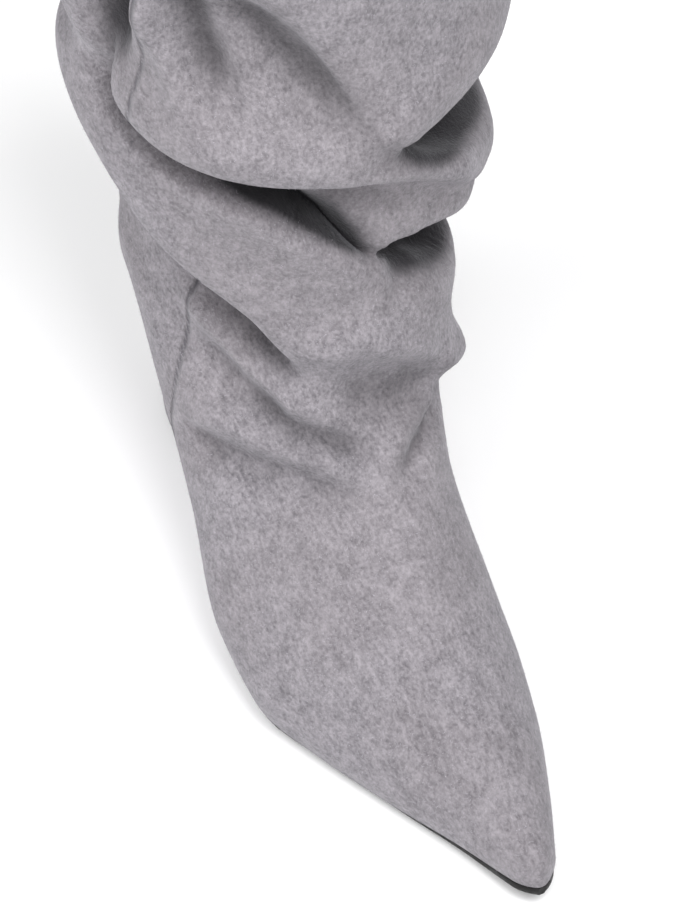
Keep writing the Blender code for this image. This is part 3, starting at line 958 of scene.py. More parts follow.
@dataclass
class ClothGrid:
    """Rings of the upper's outer face with the places that creases and seams are laid along."""

    last: Last
    steps_around: int = 150
    ankle_easing: int = 16
    ankle_above: float = 0.2
    ankle_spread: float = 1.0
    calm_from: float = 12.45
    calm_before_collar: float = 0.15
    turned_away: float = -0.2
    levels: np.ndarray = field(init=False)
    rolled: np.ndarray = field(init=False)
    points: np.ndarray = field(init=False)
    depth: np.ndarray = field(init=False)

    def __post_init__(self) -> None:
        """Lays the slouched rings, closest together where the cloth is folded."""
        levels = [0.0]
        for row, ring in enumerate(self.last.rings):
            levels += [row + (i + 1) / ring.steps for i in range(ring.steps)]
        self.levels = np.array(levels)
        bare = self.last.smooth(self.levels, self.steps_around)
        from_ankle = (self.levels - self.last.ankle_row - self.ankle_above) / self.ankle_spread
        at_ankle = np.exp(-(from_ankle**2))[:, None, None]
        for _ in range(self.ankle_easing):
            bare = bare + (eased(bare) - bare) * at_ankle
        self.rolled = self.last.slouched(bare)
        self.points = self.rolled.copy()
        self.depth = np.zeros(self.points.shape[:2])

    def trace(self, path: Sequence[Mark], count: int = 70) -> tuple[np.ndarray, np.ndarray, np.ndarray]:
        """Follows a path over the cloth.

        Args:
            path: The path's marks.
            count: How many points to lay.

        Returns:
            Points on the cloth, the way out of it there, and the path's strength.
        """
        places = np.linspace(0, len(path) - 1, count)
        around = through(range(len(path)), [m.around for m in path], places)
        level = through(range(len(path)), [m.level for m in path], places)
        strength = through(range(len(path)), [m.strength for m in path], places)
        column = (1 + around) * self.steps_around
        row = np.interp(level, self.levels, np.arange(len(self.levels)))
        out = facing_out(self.points)
        return self._between(self.points, row, column), unit(self._between(out, row, column)), strength

    def _between(self, values: np.ndarray, row: np.ndarray, column: np.ndarray) -> np.ndarray:
        """Reads a grid between its points.

        Args:
            values: The grid.
            row: Places along its rows.
            column: Places along its columns, which close on themselves.

        Returns:
            The values there.
        """
        count = values.shape[1]
        i = np.clip(np.floor(row).astype(int), 0, len(values) - 2)
        j = np.floor(column).astype(int)
        a, b = (row - i)[:, None], (column - j)[:, None]
        left, right = j % count, (j + 1) % count
        low = values[i, left] * (1 - b) + values[i, right] * b
        high = values[i + 1, left] * (1 - b) + values[i + 1, right] * b
        return low * (1 - a) + high * a

    def nearest(self, line: np.ndarray) -> tuple[np.ndarray, np.ndarray]:
        """Finds each cloth point's nearest point on a line.

        Args:
            line: Points along the line.

        Returns:
            Distances, and the numbers of the nearest points.
        """
        flat = self.points.reshape(-1, 3)
        best = np.full(len(flat), np.inf)
        number = np.zeros(len(flat), int)
        for i, point in enumerate(line):
            away = ((flat - point) ** 2).sum(axis=1)
            closer = away < best
            best[closer], number[closer] = away[closer], i
        return np.sqrt(best), number

    def crease(self, creases: Sequence[Crease]) -> None:
        """Works ridges and troughs into the cloth, all measured on the cloth before them.

        Args:
            creases: The ridges and troughs.
        """
        flat = self.points.reshape(-1, 3)
        out = facing_out(self.points).reshape(-1, 3)
        moved = flat.copy()
        depth = np.zeros(len(flat))
        run = self.levels[-1] - self.calm_before_collar - self.calm_from
        near_collar = np.clip((self.levels - self.calm_from) / run, 0, 1)
        calm = np.repeat(1 - near_collar**2 * (3 - 2 * near_collar), self.points.shape[1])
        for item in creases:
            line, line_out, strength = self.trace(item.path)
            along = unit(np.gradient(line, axis=0))
            upward = unit(np.cross(line_out, along))
            distance, number = self.nearest(line)
            over = ((flat - line[number]) * upward[number]).sum(axis=1) > 0
            facing = (out * line_out[number]).sum(axis=1) > self.turned_away
            spread = np.where(over, item.above, item.below)
            shape = np.exp(-((distance / spread) ** 2)) * strength[number] * facing * calm
            moved += out * (shape * item.push)[:, None]
            moved -= upward[number] * (shape * item.sag)[:, None]
            # Each trough's depth and its extra shade add up to the depth that the felt paints shade from.
            depth += shape * (max(-item.push, 0.0) + item.shade)
        self.points = moved.reshape(self.points.shape)
        self.depth = depth.reshape(self.depth.shape)


@dataclass
class FeltUpper:
    """The felt outside of the upper, from the turned feather edge over the collar into the hem."""

    last: Last
    grid: ClothGrid
    felt: bpy.types.Material
    edge_round: float = 0.0018
    hem_depth: float = 0.016
    hem_steps: int = 6
    turn_steps: int = 8
    hem_return: float = 0.8
    hem_end_drop: float = 0.0004
    seam_reach: float = 0.01
    seam_steps: int = 420
    under_edge: tuple[tuple[float, float], ...] = ((0.0030, 0.00022), (0.0008, 0.00020))

    def build(self) -> bpy.types.Object:
        """Builds the felt and notes each point's way to a seam and its depth in the folds, which sets the
        shade painted there.

        Returns:
            The upper's object.
        """
        rings = self._under_edge() + list(self.grid.points) + self._over_collar()
        count = self.grid.points.shape[1]
        start = len(self.under_edge) * count
        vertices = np.concatenate(rings) - np.array([self.last.heel_seat, 0, 0])
        made = new_piece("felt_upper", vertices, ring_faces(len(rings), count), self.felt)
        distance = np.full(len(vertices), self.seam_reach)
        size = self.grid.points.shape[0] * count
        for path in SIDE_SEAMS.values():
            line, _, _ = self.grid.trace(path, self.seam_steps)
            near, _ = self.grid.nearest(line)
            distance[start : start + size] = np.minimum(distance[start : start + size], near)
        # Depth in the folds at each point; the felt paints shade from it.
        depth = np.zeros(len(vertices))
        depth[start : start + size] = self.grid.depth.reshape(-1)
        note(made, "from_seam", distance)
        note(made, "painted_shade_depth", depth)
        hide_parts("upper")
        return made

    def _under_edge(self) -> list[np.ndarray]:
        """Turns the felt's lower edge in under itself.

        Returns:
            Rings from the innermost to the edge.
        """
        edge = self.grid.points[0]
        inward = -unit(facing_out(self.grid.points)[0] * np.array([1, 1, 0]))
        rings = []
        for inset, drop in self.under_edge:
            rings.append(edge + inward * inset - np.array([0, 0, drop]))
        return rings

    def _over_collar(self) -> list[np.ndarray]:
        """Rolls the felt over the collar's edge and down inside it.

        Returns:
            Rings from the edge to the hem's end.
        """
        top = self.grid.points[-1].copy()
        inward = -unit(facing_out(self.grid.points)[-1] * np.array([1, 1, 0]))
        rings = []
        for turn in np.linspace(0, np.pi, self.turn_steps)[1:]:
            rise = np.array([0, 0, self.edge_round * np.sin(turn)])
            rings.append(top + inward * self.edge_round * (1 - np.cos(turn)) + rise)
        inner = rings[-1]
        for depth in np.linspace(0, self.hem_depth, self.hem_steps)[1:]:
            rings.append(inner - np.array([0, 0, depth]))
        end_drop = np.array([0, 0, self.hem_end_drop])
        rings.append(rings[-1] - inward * self.edge_round * self.hem_return - end_drop)
        return rings


@dataclass
class Lining:
    """The smooth cloth inside, from under the hem down to the insole."""

    last: Last
    grid: ClothGrid
    cloth: bpy.types.Material
    every: int = 3
    margin: int = 6
    spreadings: int = 3
    tucked: float = 0.0145
    hem_slope: float = 0.003

    def build(self) -> bpy.types.Object:
        """Builds the lining a wall's thickness inside the felt, its top tucked flat behind the hem.

        Returns:
            The lining's object.
        """
        rolled, out = self.grid.rolled, facing_out(self.grid.rolled)
        pressed = np.minimum(((self.grid.points - rolled) * out).sum(axis=-1), 0)
        for _ in range(self.spreadings):
            pressed = np.minimum.reduce([pressed, np.roll(pressed, 1, axis=1), np.roll(pressed, -1, axis=1)])
            pressed[1:-1] = np.minimum.reduce([pressed[:-2], pressed[1:-1], pressed[2:]])
        below_hem = rolled[-1, :, 2] - self.tucked - rolled[..., 2]
        pressed = pressed * np.clip(below_hem / self.hem_slope, 0, 1)
        inner = rolled + out * (pressed - self.last.wall)[..., None]
        rows = list(range(self.margin, len(rolled) - self.margin, self.every))
        inner = eased(inner[rows][:, :: self.every])
        count = inner.shape[1]
        faces = [face[::-1] for face in ring_faces(len(inner), count)]
        vertices = inner.reshape(-1, 3) - np.array([self.last.heel_seat, 0, 0])
        made = new_piece("lining", vertices, faces, self.cloth)
        return made


@dataclass(frozen=True)
class EdgeStep:
    """A step of a slab's side: its height as a share, 1 at the top, and how far it is drawn in."""

    share: float
    inset: float


Level = tuple[np.ndarray, Mapping[Side, np.ndarray], np.ndarray]


@dataclass
class SolePieces:
    """Outsole, covered wedge and insole, all cut from the feather edge."""

    last: Last
    sole_finish: bpy.types.Material
    felt: bpy.types.Material
    sock_finish: bpy.types.Material
    wedge_front: float = 0.0012
    wedge_taper: float = 0.0035
    heel_undercut: float = 0.006
    wedge_inset: float = 0.0003
    sole_inset: float = 0.0016
    toe_inset: float = -0.0002
    toe_start: float = 0.80
    toe_run: float = 0.18
    flat_until: float = 0.70
    thinnest: float = 0.0004
    thinnest_edge: float = 0.0002
    end_inset: float = 0.0002
    sock_end_inset: float = 0.0003
    sock_dip: float = 0.0004
    face_lines: tuple[float, ...] = (0.0, 0.35, 0.7)
    face_share: float = 0.97
    sharp_from: float = 0.8
    search_steps: int = 400
    sole_steps: tuple[int, int] = (90, 110)
    wedge_steps: int = 170
    sock_steps: int = 130

    def wedge_end(self) -> float:
        """Finds where the wedge has thinned to its front edge.

        Returns:
            The distance from the heel's back.
        """
        x = np.linspace(self.last.length / 2, self.last.length, self.search_steps)
        thickness = self.last.footbed(x) - self.last.outsole - self.last.gap
        return float(x[np.argmax(thickness < self.wedge_front)])

    def stations(self, first: float, last: float, count: int) -> np.ndarray:
        """Spreads places along the shoe, closest together at both ends."""
        return first + (last - first) * (1 - np.cos(np.pi * np.linspace(0, 1, count))) / 2

    def halves(self, inset: float, x: np.ndarray) -> dict[Side, np.ndarray]:
        """Reads both half widths of an inset edge over x."""
        edge = self.last.inset_edge(inset)
        return {side: np.maximum(np.interp(x, *edge[side]), self.thinnest) for side in Side}

    def leaned(
        self,
        x: np.ndarray,
        halves: Mapping[Side, np.ndarray],
    ) -> tuple[np.ndarray, dict[Side, np.ndarray]]:
        """Moves stations and half widths to where the wedge's foot stands.

        Args:
            x: Stations at the footbed.
            halves: Half widths there.

        Returns:
            Stations and half widths at the floor.
        """
        thick = self.last.footbed(x) - self.last.outsole - self.wedge_front
        high = np.clip(thick / self.last.heel_rise, 0, 1)
        forward = self.heel_undercut * np.clip(1 - x / self.wedge_end(), 0, 1)
        taper = self.wedge_taper * high
        drawn = {side: np.maximum(half - taper, self.thinnest) for side, half in halves.items()}
        return x + forward, drawn

    def slab(
        self,
        name: str,
        top: Level,
        low: Level,
        steps: Sequence[EdgeStep],
        finish: bpy.types.Material,
        crown: float = 0.0,
    ) -> bpy.types.Object:
        """Builds a closed slab with worked side edges.

        Args:
            name: The piece's name.
            top: Stations, half widths and heights of its top.
            low: The same of its underside.
            steps: The side's steps from top to bottom.
            finish: Its material.
            crown: How far the top's middle dips.

        Returns:
            The slab's object.
        """
        across, inner = self.face_lines, self.face_share
        columns = []
        for share in across:
            columns.append(self._column(top, Side.LATERAL, share * inner, -crown * (1 - share**2)))
        for step in steps:
            columns.append(self._edge(top, low, Side.LATERAL, step))
        for share in reversed(across):
            columns.append(self._column(low, Side.LATERAL, share * inner, 0.0))
        for share in across[1:]:
            columns.append(self._column(low, Side.MEDIAL, share * inner, 0.0))
        for step in reversed(steps):
            columns.append(self._edge(top, low, Side.MEDIAL, step))
        for share in reversed(across[1:]):
            columns.append(self._column(top, Side.MEDIAL, share * inner, -crown * (1 - share**2)))
        grid = np.stack(columns, axis=1)
        count = grid.shape[1]
        faces: list[Sequence[int]] = list(ring_faces(len(grid), count))
        faces.append(tuple(range(count))[::-1])
        faces.append(tuple((len(grid) - 1) * count + j for j in range(count)))
        vertices = grid.reshape(-1, 3) - np.array([self.last.heel_seat, 0, 0])
        return new_piece(name, vertices, faces, finish, sharp=self.sharp_from)

    def _column(self, level: Level, side: Side, share: float, lift: float) -> np.ndarray:
        """Lays a line of points along a slab's face, at a share of its half width."""
        x, halves, z = level
        return np.stack([x, side.value * halves[side] * share, z + lift], -1)

    def _edge(self, top: Level, low: Level, side: Side, step: EdgeStep) -> np.ndarray:
        """Lays a line of points along a slab's side.

        Args:
            top: Stations, half widths and heights of the slab's top.
            low: The same of its underside.
            side: Which side.
            step: How far down, and how far drawn in.

        Returns:
            The line's points.
        """
        x = low[0] + (top[0] - low[0]) * step.share
        half = low[1][side] + (top[1][side] - low[1][side]) * step.share
        half = np.maximum(half - step.inset, self.thinnest_edge)
        z = low[2] + (top[2] - low[2]) * step.share
        return np.stack([x, side.value * half, z], -1)

    def build_outsole(self) -> bpy.types.Object:
        """Builds the black sole: flat to the ball, then up with the toe spring.

        Returns:
            The sole's object.
        """
        last = self.last
        tip = float(last.inset_edge(self.toe_inset)[Side.LATERAL][0][-1]) - self.end_inset
        start = float(last.inset_edge(self.sole_inset)[Side.LATERAL][0][0]) + self.end_inset
        step = self.wedge_end() + last.gap
        behind, before = self.sole_steps
        x = np.concatenate([self.stations(start, step, behind), self.stations(step + last.gap, tip, before)])
        low_x, drawn = self.leaned(x, self.halves(self.sole_inset, x))
        toe = np.clip((x / last.length - self.toe_start) / self.toe_run, 0, 1)
        at_toe = self.halves(self.toe_inset, x)
        halves = {side: drawn[side] + (at_toe[side] - drawn[side]) * toe for side in Side}
        top = np.where(x > step, last.footbed(x), last.outsole)
        low = np.where(x > last.length * self.flat_until, last.footbed(x) - last.outsole - last.gap, 0.0)
        steps = (EdgeStep(1.0, 0.0002), EdgeStep(0.85, 0.0), EdgeStep(0.25, 0.0), EdgeStep(0.0, 0.0007))
        made = self.slab("outsole_edge", (low_x, halves, top), (low_x, halves, low), steps, self.sole_finish)
        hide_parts("outsole")
        return made

    def build_wedge(self) -> bpy.types.Object:
        """Builds the felt-covered wedge, its foot inset towards the heel.

        Returns:
            The wedge's object.
        """
        last = self.last
        start = float(last.inset_edge(self.wedge_inset)[Side.LATERAL][0][0]) + self.end_inset
        x = self.stations(start, self.wedge_end(), self.wedge_steps)
        halves = self.halves(self.wedge_inset, x)
        low_x, low_halves = self.leaned(x, halves)
        low = np.full_like(x, last.outsole + last.gap)
        steps = [EdgeStep(1.0, 0.0), EdgeStep(0.985, 0.0)]
        steps += [EdgeStep(share, 0.0) for share in np.linspace(0.9, 0.1, 9)]
        steps += [EdgeStep(0.015, 0.0001), EdgeStep(0.0, 0.0008)]
        top = (x, halves, last.footbed(x))
        made = self.slab("covered_wedge", top, (low_x, low_halves, low), steps, self.felt)
        points = len(made.data.vertices)
        note(made, "from_seam", np.full(points, 1.0))
        note(made, "painted_shade_depth", np.zeros(points))
        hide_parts("wedge")
        return made

    def build_insole(self) -> bpy.types.Object:
        """Builds the padded sock, a clearance inside the upper's wall.

        Returns:
            The sock's object.
        """
        last = self.last
        inset = last.wall + 2 * last.gap
        edge = last.inset_edge(inset)[Side.LATERAL][0]
        back, tip = float(edge[0]) + self.sock_end_inset, float(edge[-1]) - self.sock_end_inset
        x = self.stations(back, tip, self.sock_steps)
        halves = self.halves(inset, x)
        low = last.footbed(x) + last.gap
        steps = (EdgeStep(1.0, 0.0012), EdgeStep(0.8, 0.0002), EdgeStep(0.4, 0.0), EdgeStep(0.0, 0.0003))
        top = (x, halves, low + last.insole)
        made = self.slab("sock", top, (x, halves, low), steps, self.sock_finish, self.sock_dip)
        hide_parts("insole")
        return made


@dataclass
class Nap:
    """Loose wool fibres that stand off the felt."""

    last: Last
    grid: ClothGrid
    wool: bpy.types.Material
    fibres: int = 60000
    shortest: float = 0.0004
    longest: float = 0.0012
    thickness: float = 0.000035
    bare_from: float = 0.0050
    least_lift: float = 0.15
    most_lift: float = 0.8
    tip_lift: float = 0.3
    waver: float = 0.4
    taper: float = 0.8
    seed: int = 7

    def build(self) -> bpy.types.Object:
        """Builds the fibres as one mesh of slim bent ribbons.

        Returns:
            The nap's object.
        """
        rng = np.random.default_rng(self.seed)
        points, out = self.grid.points, facing_out(self.grid.points)
        rows, count = points.shape[:2]
        right = np.roll(points, -1, axis=1) - points
        above = np.concatenate([points[1:] - points[:-1], points[-1:] - points[-2:-1]])
        area = np.linalg.norm(np.cross(right, above), axis=-1).reshape(-1)
        area[(rows - 1) * count :] = 0
        area *= 1 - np.clip(self.grid.depth.reshape(-1) / self.bare_from, 0, 1)
        picked = rng.choice(len(area), self.fibres, p=area / area.sum())
        i, j = picked // count, picked % count
        a, b = rng.random((2, self.fibres, 1))
        root = points[i, j] + right[i, j] * a + above[i, j] * b
        normal = out[i, j]
        loose = rng.normal(0, 1, (self.fibres, 3))
        flat = unit(loose - normal * (loose * normal).sum(axis=1, keepdims=True))
        length = rng.uniform(self.shortest, self.longest, (self.fibres, 1))
        lift = rng.uniform(self.least_lift, self.most_lift, (self.fibres, 1))
        middle = root + unit(normal * lift + flat) * length * 0.5
        bent = rng.normal(0, self.waver, (self.fibres, 3))
        tip = middle + unit(normal * lift * self.tip_lift + flat + bent) * length * 0.5
        across = unit(np.cross(flat, normal)) * self.thickness
        slim = across * self.taper
        corners = np.stack([root - across, root + across, middle + slim, middle - slim, tip], axis=1)
        vertices = corners.reshape(-1, 3) - np.array([self.last.heel_seat, 0, 0])
        faces: list[Sequence[int]] = []
        for k in range(0, 5 * self.fibres, 5):
            faces.append((k, k + 1, k + 2, k + 3))
            faces.append((k + 3, k + 2, k + 4))
        made = new_piece("wool_nap", vertices, faces, self.wool)
        return made


# Finishes


class Value:
    """A socket's value in an expression. Each operator adds a Math node."""

    def __init__(self, bench: "Bench", socket: bpy.types.NodeSocket) -> None:
        """Keeps the bench and the socket."""
        self.bench = bench
        self.socket = socket

    def _math(self, operation: str, first: Operand, second: Operand) -> "Value":
        """Adds a Math node for two operands."""
        return self.bench.node("ShaderNodeMath", {"operation": operation}, {0: first, 1: second})

    def __add__(self, other: Operand) -> "Value":
        """Adds."""
        return self._math("ADD", self, other)

    def __radd__(self, other: Operand) -> "Value":
        """Adds, from the right."""
        return self._math("ADD", other, self)

    def __sub__(self, other: Operand) -> "Value":
        """Subtracts."""
        return self._math("SUBTRACT", self, other)

    def __rsub__(self, other: Operand) -> "Value":
        """Subtracts from a number."""
        return self._math("SUBTRACT", other, self)

    def __mul__(self, other: Operand) -> "Value":
        """Multiplies."""
        return self._math("MULTIPLY", self, other)

    def __rmul__(self, other: Operand) -> "Value":
        """Multiplies, from the right."""
        return self._math("MULTIPLY", other, self)

    def __truediv__(self, other: Operand) -> "Value":
        """Divides."""
        return self._math("DIVIDE", self, other)

    def clamped(self) -> "Value":
        """Keeps the value between 0 and 1."""
        return self.bench.node("ShaderNodeClamp", {}, {"Value": self})

    def fade(self, start: float, end: float) -> "Value":
        """Gives 1 up to start, falling softly to 0 at end.

        Args:
            start: Where it begins to fall.
            end: Where it reaches 0.

        Returns:
            The faded value.
        """
        settings = {"interpolation_type": "SMOOTHSTEP"}
        ends = {"Value": self, "From Min": start, "From Max": end, "To Min": 1.0, "To Max": 0.0}
        return self.bench.node("ShaderNodeMapRange", settings, ends)


class Bench:
    """Where one material's nodes are put together."""

    def __init__(self, name: str) -> None:
        """Starts a material with a plain shader.

        Args:
            name: The material's name.
        """
        self.material = bpy.data.materials.new(name)
        self.material.use_nodes = True
        self.tree = self.material.node_tree
        self.shader = self.tree.nodes["Principled BSDF"]

    def node(
        self,
        kind: str,
        settings: Mapping[str, object],
        inputs: Mapping[Union[str, int], Union[Operand, Sequence[float]]],
        output: Union[str, int] = 0,
    ) -> Value:
        """Adds a node.

        Args:
            kind: The node's type.
            settings: Its properties, set first.
            inputs: Values or links of its sockets.
            output: The socket that is read.

        Returns:
            The output's value.
        """
        made = self.tree.nodes.new(kind)
        for key, setting in settings.items():
            setattr(made, key, setting)
        for key, given in inputs.items():
            self.set(made.inputs[key], given)
        return Value(self, made.outputs[output])

    def set(self, socket: bpy.types.NodeSocket, given: Union[Operand, Sequence[float]]) -> None:
        """Links a value to a socket, or sets the socket's number.

        Args:
            socket: The socket.
            given: A value to link, or a number or vector to set.
        """
        if isinstance(given, Value):
            self.tree.links.new(given.socket, socket)
        else:
            socket.default_value = given

    def place(self) -> Value:
        """Gives the place on the object, in metres."""
        return self.node("ShaderNodeTexCoord", {}, {}, "Object")

    def stretched(self, place: Value, factors: Colour) -> Value:
        """Scales a place along its axes."""
        return self.node("ShaderNodeVectorMath", {"operation": "MULTIPLY"}, {0: place, 1: factors})

    def noise(self, place: Value, size: float, detail: float = 2.0, roughness: float = 0.5) -> Value:
        """Adds soft noise with patches of about a size, in metres."""
        inputs = {"Vector": place, "Scale": 1 / size, "Detail": detail, "Roughness": roughness}
        return self.node("ShaderNodeTexNoise", {}, inputs)

    def mix(self, share: Operand, first: object, second: object) -> Value:
        """Mixes two colours."""
        colours = [c if isinstance(c, Value) else (*c, 1.0) for c in (first, second)]
        return self.node("ShaderNodeMix", {"data_type": "RGBA"}, {0: share, 6: colours[0], 7: colours[1]}, 2)

    def bump(
        self,
        height: Value,
        distance: float,
        strength: float = 1.0,
        under: Optional[Value] = None,
    ) -> Value:
        """Turns a height into a bent normal.

        Args:
            height: The height, as a share of distance.
            distance: The full height, in metres.
            strength: How much of the bend is kept.
            under: A bent normal that this one lies over.

        Returns:
            The normal.
        """
        inputs: dict = {"Height": height, "Distance": distance, "Strength": strength}
        if under is not None:
            inputs["Normal"] = under
        return self.node("ShaderNodeBump", {}, inputs)

    def dress(self, sockets: Mapping[str, Union[Operand, Sequence[float]]]) -> bpy.types.Material:
        """Sets the shader's sockets.

        Args:
            sockets: Values or links, by the socket's name.

        Returns:
            The finished material.
        """
        for key, given in sockets.items():
            self.set(self.shader.inputs[key], given)
        return self.material


@dataclass(frozen=True)
class FeltFinish:
    """Grey mottled wool felt with a soft nap, with shade painted into its folds and pockets."""

    name: str = "grey felt"
    dark: Colour = (0.108, 0.101, 0.111)
    light: Colour = (0.294, 0.276, 0.297)
    warm: Colour = (0.202, 0.180, 0.188)
    seam: Colour = (0.070, 0.066, 0.076)
    # The fold colour is near-black painted shade, laid over the cloth in folds and pockets where shade falls.
    fold: Colour = (0.011, 0.010, 0.012)
    # Depths in the folds where a soft and then a near-black painted shade begin and are full, and how strong
    # each is.
    shade_start: float = 0.0012
    shade_full: float = 0.0085
    deep_shade_start: float = 0.0045
    deep_shade_full: float = 0.0105
    shade_share: float = 0.34
    deep_shade_share: float = 0.95
    seam_share: float = 0.80
    warm_share: float = 0.16
    seam_half: float = 0.00055
    seam_groove: float = 0.0016
    groove_depth: float = 0.0010
    grain_depth: float = 0.00055
    fleck_size: float = 0.0011
    hair_size: float = 0.0019
    hair_stretch: Colour = (0.55, 1.5, 0.9)
    cloud_size: float = 0.006
    drift_size: float = 0.030
    warmth_size: float = 0.045
    grain_size: float = 0.00045

    def make(self) -> bpy.types.Material:
        """Builds the felt: flecks, streaks, clouds, shade painted into the folds, a bumpy face and dark
        seams.

        Returns:
            The felt's material.
        """
        bench = Bench(self.name)
        place = bench.place()
        flecks = bench.noise(place, self.fleck_size, 3.0, 0.62)
        hairs = bench.noise(bench.stretched(place, self.hair_stretch), self.hair_size, 3.0, 0.7)
        clouds = bench.noise(place, self.cloud_size, 2.0, 0.55)
        drifts = bench.noise(place, self.drift_size, 2.0, 0.5)
        fine = 0.5 + (flecks - 0.5) * 1.6 + (hairs - 0.5) * 1.3
        tone = fine + (clouds - 0.5) * 0.85 + (drifts - 0.5) * 0.35
        cloth = bench.mix(tone.clamped(), self.dark, self.light)
        warmth = bench.noise(place, self.warmth_size, 1.0, 0.4).fade(0.62, 0.40)
        cloth = bench.mix((1 - warmth) * self.warm_share, cloth, self.warm)
        # Painted shade: the deeper the fold or pocket at a point, the darker its colour, in a soft and a
        # near-black stage.
        painted_shade_depth = bench.node("ShaderNodeAttribute", {"attribute_name": "painted_shade_depth"}, {}, "Fac")
        shaded = (1 - painted_shade_depth.fade(self.shade_start, self.shade_full)) * self.shade_share
        cloth = bench.mix(shaded, cloth, self.fold)
        folded = (1 - painted_shade_depth.fade(self.deep_shade_start, self.deep_shade_full)) * self.deep_shade_share
        cloth = bench.mix(folded, cloth, self.fold)
        from_seam = bench.node("ShaderNodeAttribute", {"attribute_name": "from_seam"}, {}, "Fac")
        line = from_seam.fade(self.seam_half * 0.4, self.seam_half * 2.0)
        cloth = bench.mix(line * self.seam_share, cloth, self.seam)
        groove = from_seam.fade(0.0, self.seam_groove)
        grain = flecks * 0.7 + hairs * 0.5 + bench.noise(place, self.grain_size, 2.0, 0.6) * 0.35
        under = bench.bump(grain, self.grain_depth, 0.75)
        normal = bench.bump(1 - groove, self.groove_depth, 1.0, under)
        return bench.dress(
            {
                "Base Color": cloth,
                "Roughness": 0.95,
                "Sheen Weight": 0.22,
                "Sheen Roughness": 0.55,
                "Sheen Tint": (0.9, 0.9, 0.95, 1.0),
                "Specular IOR Level": 0.12,
                "Normal": normal,
            }
        )


@dataclass(frozen=True)
class WoolFinish:
    """Single fibres, a little lighter than the felt."""

    name: str = "loose wool"
    dark: Colour = (0.21, 0.20, 0.22)
    light: Colour = (0.46, 0.44, 0.48)
    tone_size: float = 0.0012

    def make(self) -> bpy.types.Material:
        """Builds the fibres' material.

        Returns:
            The material.
        """
        bench = Bench(self.name)
        tone = bench.noise(bench.place(), self.tone_size, 2.0, 0.7).fade(0.65, 0.35)
        colour = bench.mix(tone, self.dark, self.light)
        return bench.dress({"Base Color": colour, "Roughness": 0.9, "Specular IOR Level": 0.1})


@dataclass(frozen=True)
class SoleFinish:
    """Smooth black sole, a little worn underneath."""

    name: str = "black sole"
    black: Colour = (0.005, 0.005, 0.0055)
    scuff: Colour = (0.012, 0.0115, 0.011)
    scuff_size: float = 0.004
    scuff_stretch: Colour = (0.5, 2.0, 1.0)
    scuff_share: float = 0.6
    grain_size: float = 0.0008
    grain_depth: float = 0.0001

    def make(self) -> bpy.types.Material:
        """Builds the sole's material.

        Returns:
            The material.
        """
        bench = Bench(self.name)
        place = bench.place()
        streaks = bench.noise(bench.stretched(place, self.scuff_stretch), self.scuff_size, 4.0, 0.6)
        scuffs = streaks.fade(0.62, 0.45)
        colour = bench.mix((1 - scuffs) * self.scuff_share, self.black, self.scuff)
        normal = bench.bump(bench.noise(place, self.grain_size, 3.0, 0.6), self.grain_depth, 0.5)
        rough = 0.42 + (1 - scuffs) * 0.2
        sockets = {"Base Color": colour, "Roughness": rough, "Specular IOR Level": 0.15, "Normal": normal}
        return bench.dress(sockets)


@dataclass(frozen=True)
class LiningFinish:
    """Close woven lining, also used on the sock."""

    name: str = "grey lining"
    dark: Colour = (0.20, 0.19, 0.20)
    light: Colour = (0.30, 0.285, 0.29)
    pitch: float = 0.0007
    turn: float = 6.2832
    cloud_size: float = 0.012
    thread_depth: float = 0.00012

    def make(self) -> bpy.types.Material:
        """Builds a fine twill of slanting bands.

        Returns:
            The lining's material.
        """
        bench = Bench(self.name)
        place = bench.place()
        band = {"Vector": place, "Scale": 1 / (self.pitch * self.turn), "Distortion": 0.6, "Detail": 1.0}
        twill = bench.node("ShaderNodeTexWave", {"bands_direction": "DIAGONAL"}, band, "Fac")
        cloud = bench.noise(place, self.cloud_size, 2.0)
        colour = bench.mix((twill * 0.6 + cloud * 0.5).clamped(), self.dark, self.light)
        normal = bench.bump(twill, self.thread_depth, 0.6)
        sockets = {"Base Color": colour, "Roughness": 0.82, "Specular IOR Level": 0.2, "Normal": normal}
        return bench.dress(sockets)


@dataclass(frozen=True)
class FloorFinish:
    """Plain pale floor."""

    name: str = "pale floor"
    colour: Colour = (0.96, 0.96, 0.965)

    def make(self) -> bpy.types.Material:
        """Builds the floor's material."""
        sockets = {"Base Color": (*self.colour, 1.0), "Roughness": 0.9, "Specular IOR Level": 0.0}
        return Bench(self.name).dress(sockets)


# Studio


@dataclass
class Softbox:
    """A square soft light aimed at the boot."""

    name: str
    place: tuple[float, float, float]
    size: float
    power: float
    aim: tuple[float, float, float] = (0.06, 0.0, 0.08)

    def hang(self) -> bpy.types.Object:
        """Hangs the light.

        Returns:
            The light's object.
        """
        light = bpy.data.lights.new(self.name, "AREA")
        light.shape = "SQUARE"
        light.size = self.size
        light.energy = self.power
        made = bpy.data.objects.new(self.name, light)
        made.location = self.place
        made.rotation_euler = (Vector(self.place) - Vector(self.aim)).to_track_quat("Z", "Y").to_euler()
        bpy.context.scene.collection.objects.link(made)
        return made


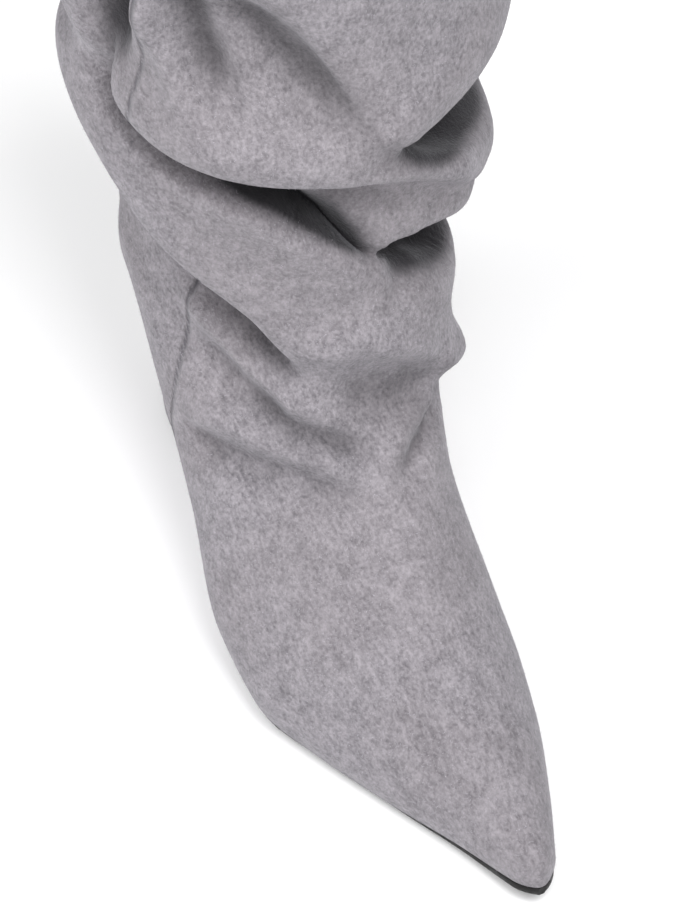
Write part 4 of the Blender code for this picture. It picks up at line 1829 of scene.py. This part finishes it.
@dataclass
class Studio:
    """Floor, soft light and the camera above the toe."""

    floor_finish: bpy.types.Material
    azimuth: float = 25.0
    elevation: float = 47.0
    distance: float = 1.1
    focal_pixels: float = 3700.0
    frame_width: int = 680
    frame_height: int = 919
    target: tuple[float, float, float] = (0.064, 0.0, 0.090)
    target_pixel: tuple[float, float] = (327.2, 368.0)
    world_light: float = 0.40
    floor_half: float = 3.0
    sensor: float = 24.0

    def build(self) -> None:
        """Sets up floor, world, lights and camera."""
        self._floor()
        self._world()
        for box in self._lights():
            box.hang()
        self._camera()

    def _floor(self) -> None:
        """Lays a wide pale floor."""
        half = self.floor_half
        corners = [(-half, -half, 0.0), (half, -half, 0.0), (half, half, 0.0), (-half, half, 0.0)]
        mesh = bpy.data.meshes.new("floor")
        mesh.from_pydata(corners, [], [(0, 1, 2, 3)])
        floor = bpy.data.objects.new("floor", mesh)
        floor.data.materials.append(self.floor_finish)
        bpy.context.scene.collection.objects.link(floor)

    def _world(self) -> None:
        """Surrounds the boot with even white light."""
        world = bpy.data.worlds.new("studio")
        world.use_nodes = True
        back = world.node_tree.nodes["Background"]
        back.inputs["Color"].default_value = (1.0, 1.0, 1.0, 1.0)
        back.inputs["Strength"].default_value = self.world_light
        bpy.context.scene.world = world
        bpy.context.scene.view_settings.view_transform = "Standard"

    def _lights(self) -> list[Softbox]:
        """Lists the soft lights.

        Returns:
            The lights, still to be hung.
        """
        return [
            Softbox("high front box", (0.74, 0.06, 1.36), 0.7, 19.5),
            Softbox("outer side box", (0.25, -0.85, 1.15), 1.0, 15.0),
        ]

    def _camera(self) -> None:
        """Places the camera so that the target falls on its pixel."""
        turn, tilt = math.radians(self.azimuth), math.radians(self.elevation)
        back = Vector((math.cos(turn) * math.cos(tilt), -math.sin(turn) * math.cos(tilt), math.sin(tilt)))
        right = Vector((0, 0, 1)).cross(back).normalized()
        up = back.cross(right)
        over = (self.frame_width / 2 - self.target_pixel[0]) / self.focal_pixels
        down = (self.frame_height / 2 - self.target_pixel[1]) / self.focal_pixels
        sight = -back + right * over - up * down
        data = bpy.data.cameras.new("camera")
        data.sensor_fit = "VERTICAL"
        data.sensor_height = self.sensor
        data.lens = self.focal_pixels / self.frame_height * self.sensor
        data.clip_start, data.clip_end = 0.05, 20.0
        camera = bpy.data.objects.new("camera", data)
        camera.location = Vector(self.target) + back * self.distance
        camera.rotation_euler = sight.to_track_quat("-Z", "Y").to_euler()
        bpy.context.scene.collection.objects.link(camera)
        bpy.context.scene.camera = camera


def main() -> None:
    """Builds the boot piece by piece, then the studio."""
    logging.basicConfig(level=logging.INFO, format="%(message)s")
    last = Last()
    felt = FeltFinish().make()
    grid = ClothGrid(last)
    grid.crease(CREASES)
    pieces = [FeltUpper(last, grid, felt).build()]
    lining = LiningFinish().make()
    pieces.append(Lining(last, grid, lining).build())
    soles = SolePieces(last, SoleFinish().make(), felt, lining)
    pieces += [soles.build_outsole(), soles.build_wedge(), soles.build_insole()]
    pieces.append(Nap(last, grid, WoolFinish().make()).build())
    for piece in pieces:
        log.info("%s: %d faces", piece.name, len(piece.data.polygons))
    Studio(FloorFinish().make()).build()


if __name__ == "__main__":
    main()
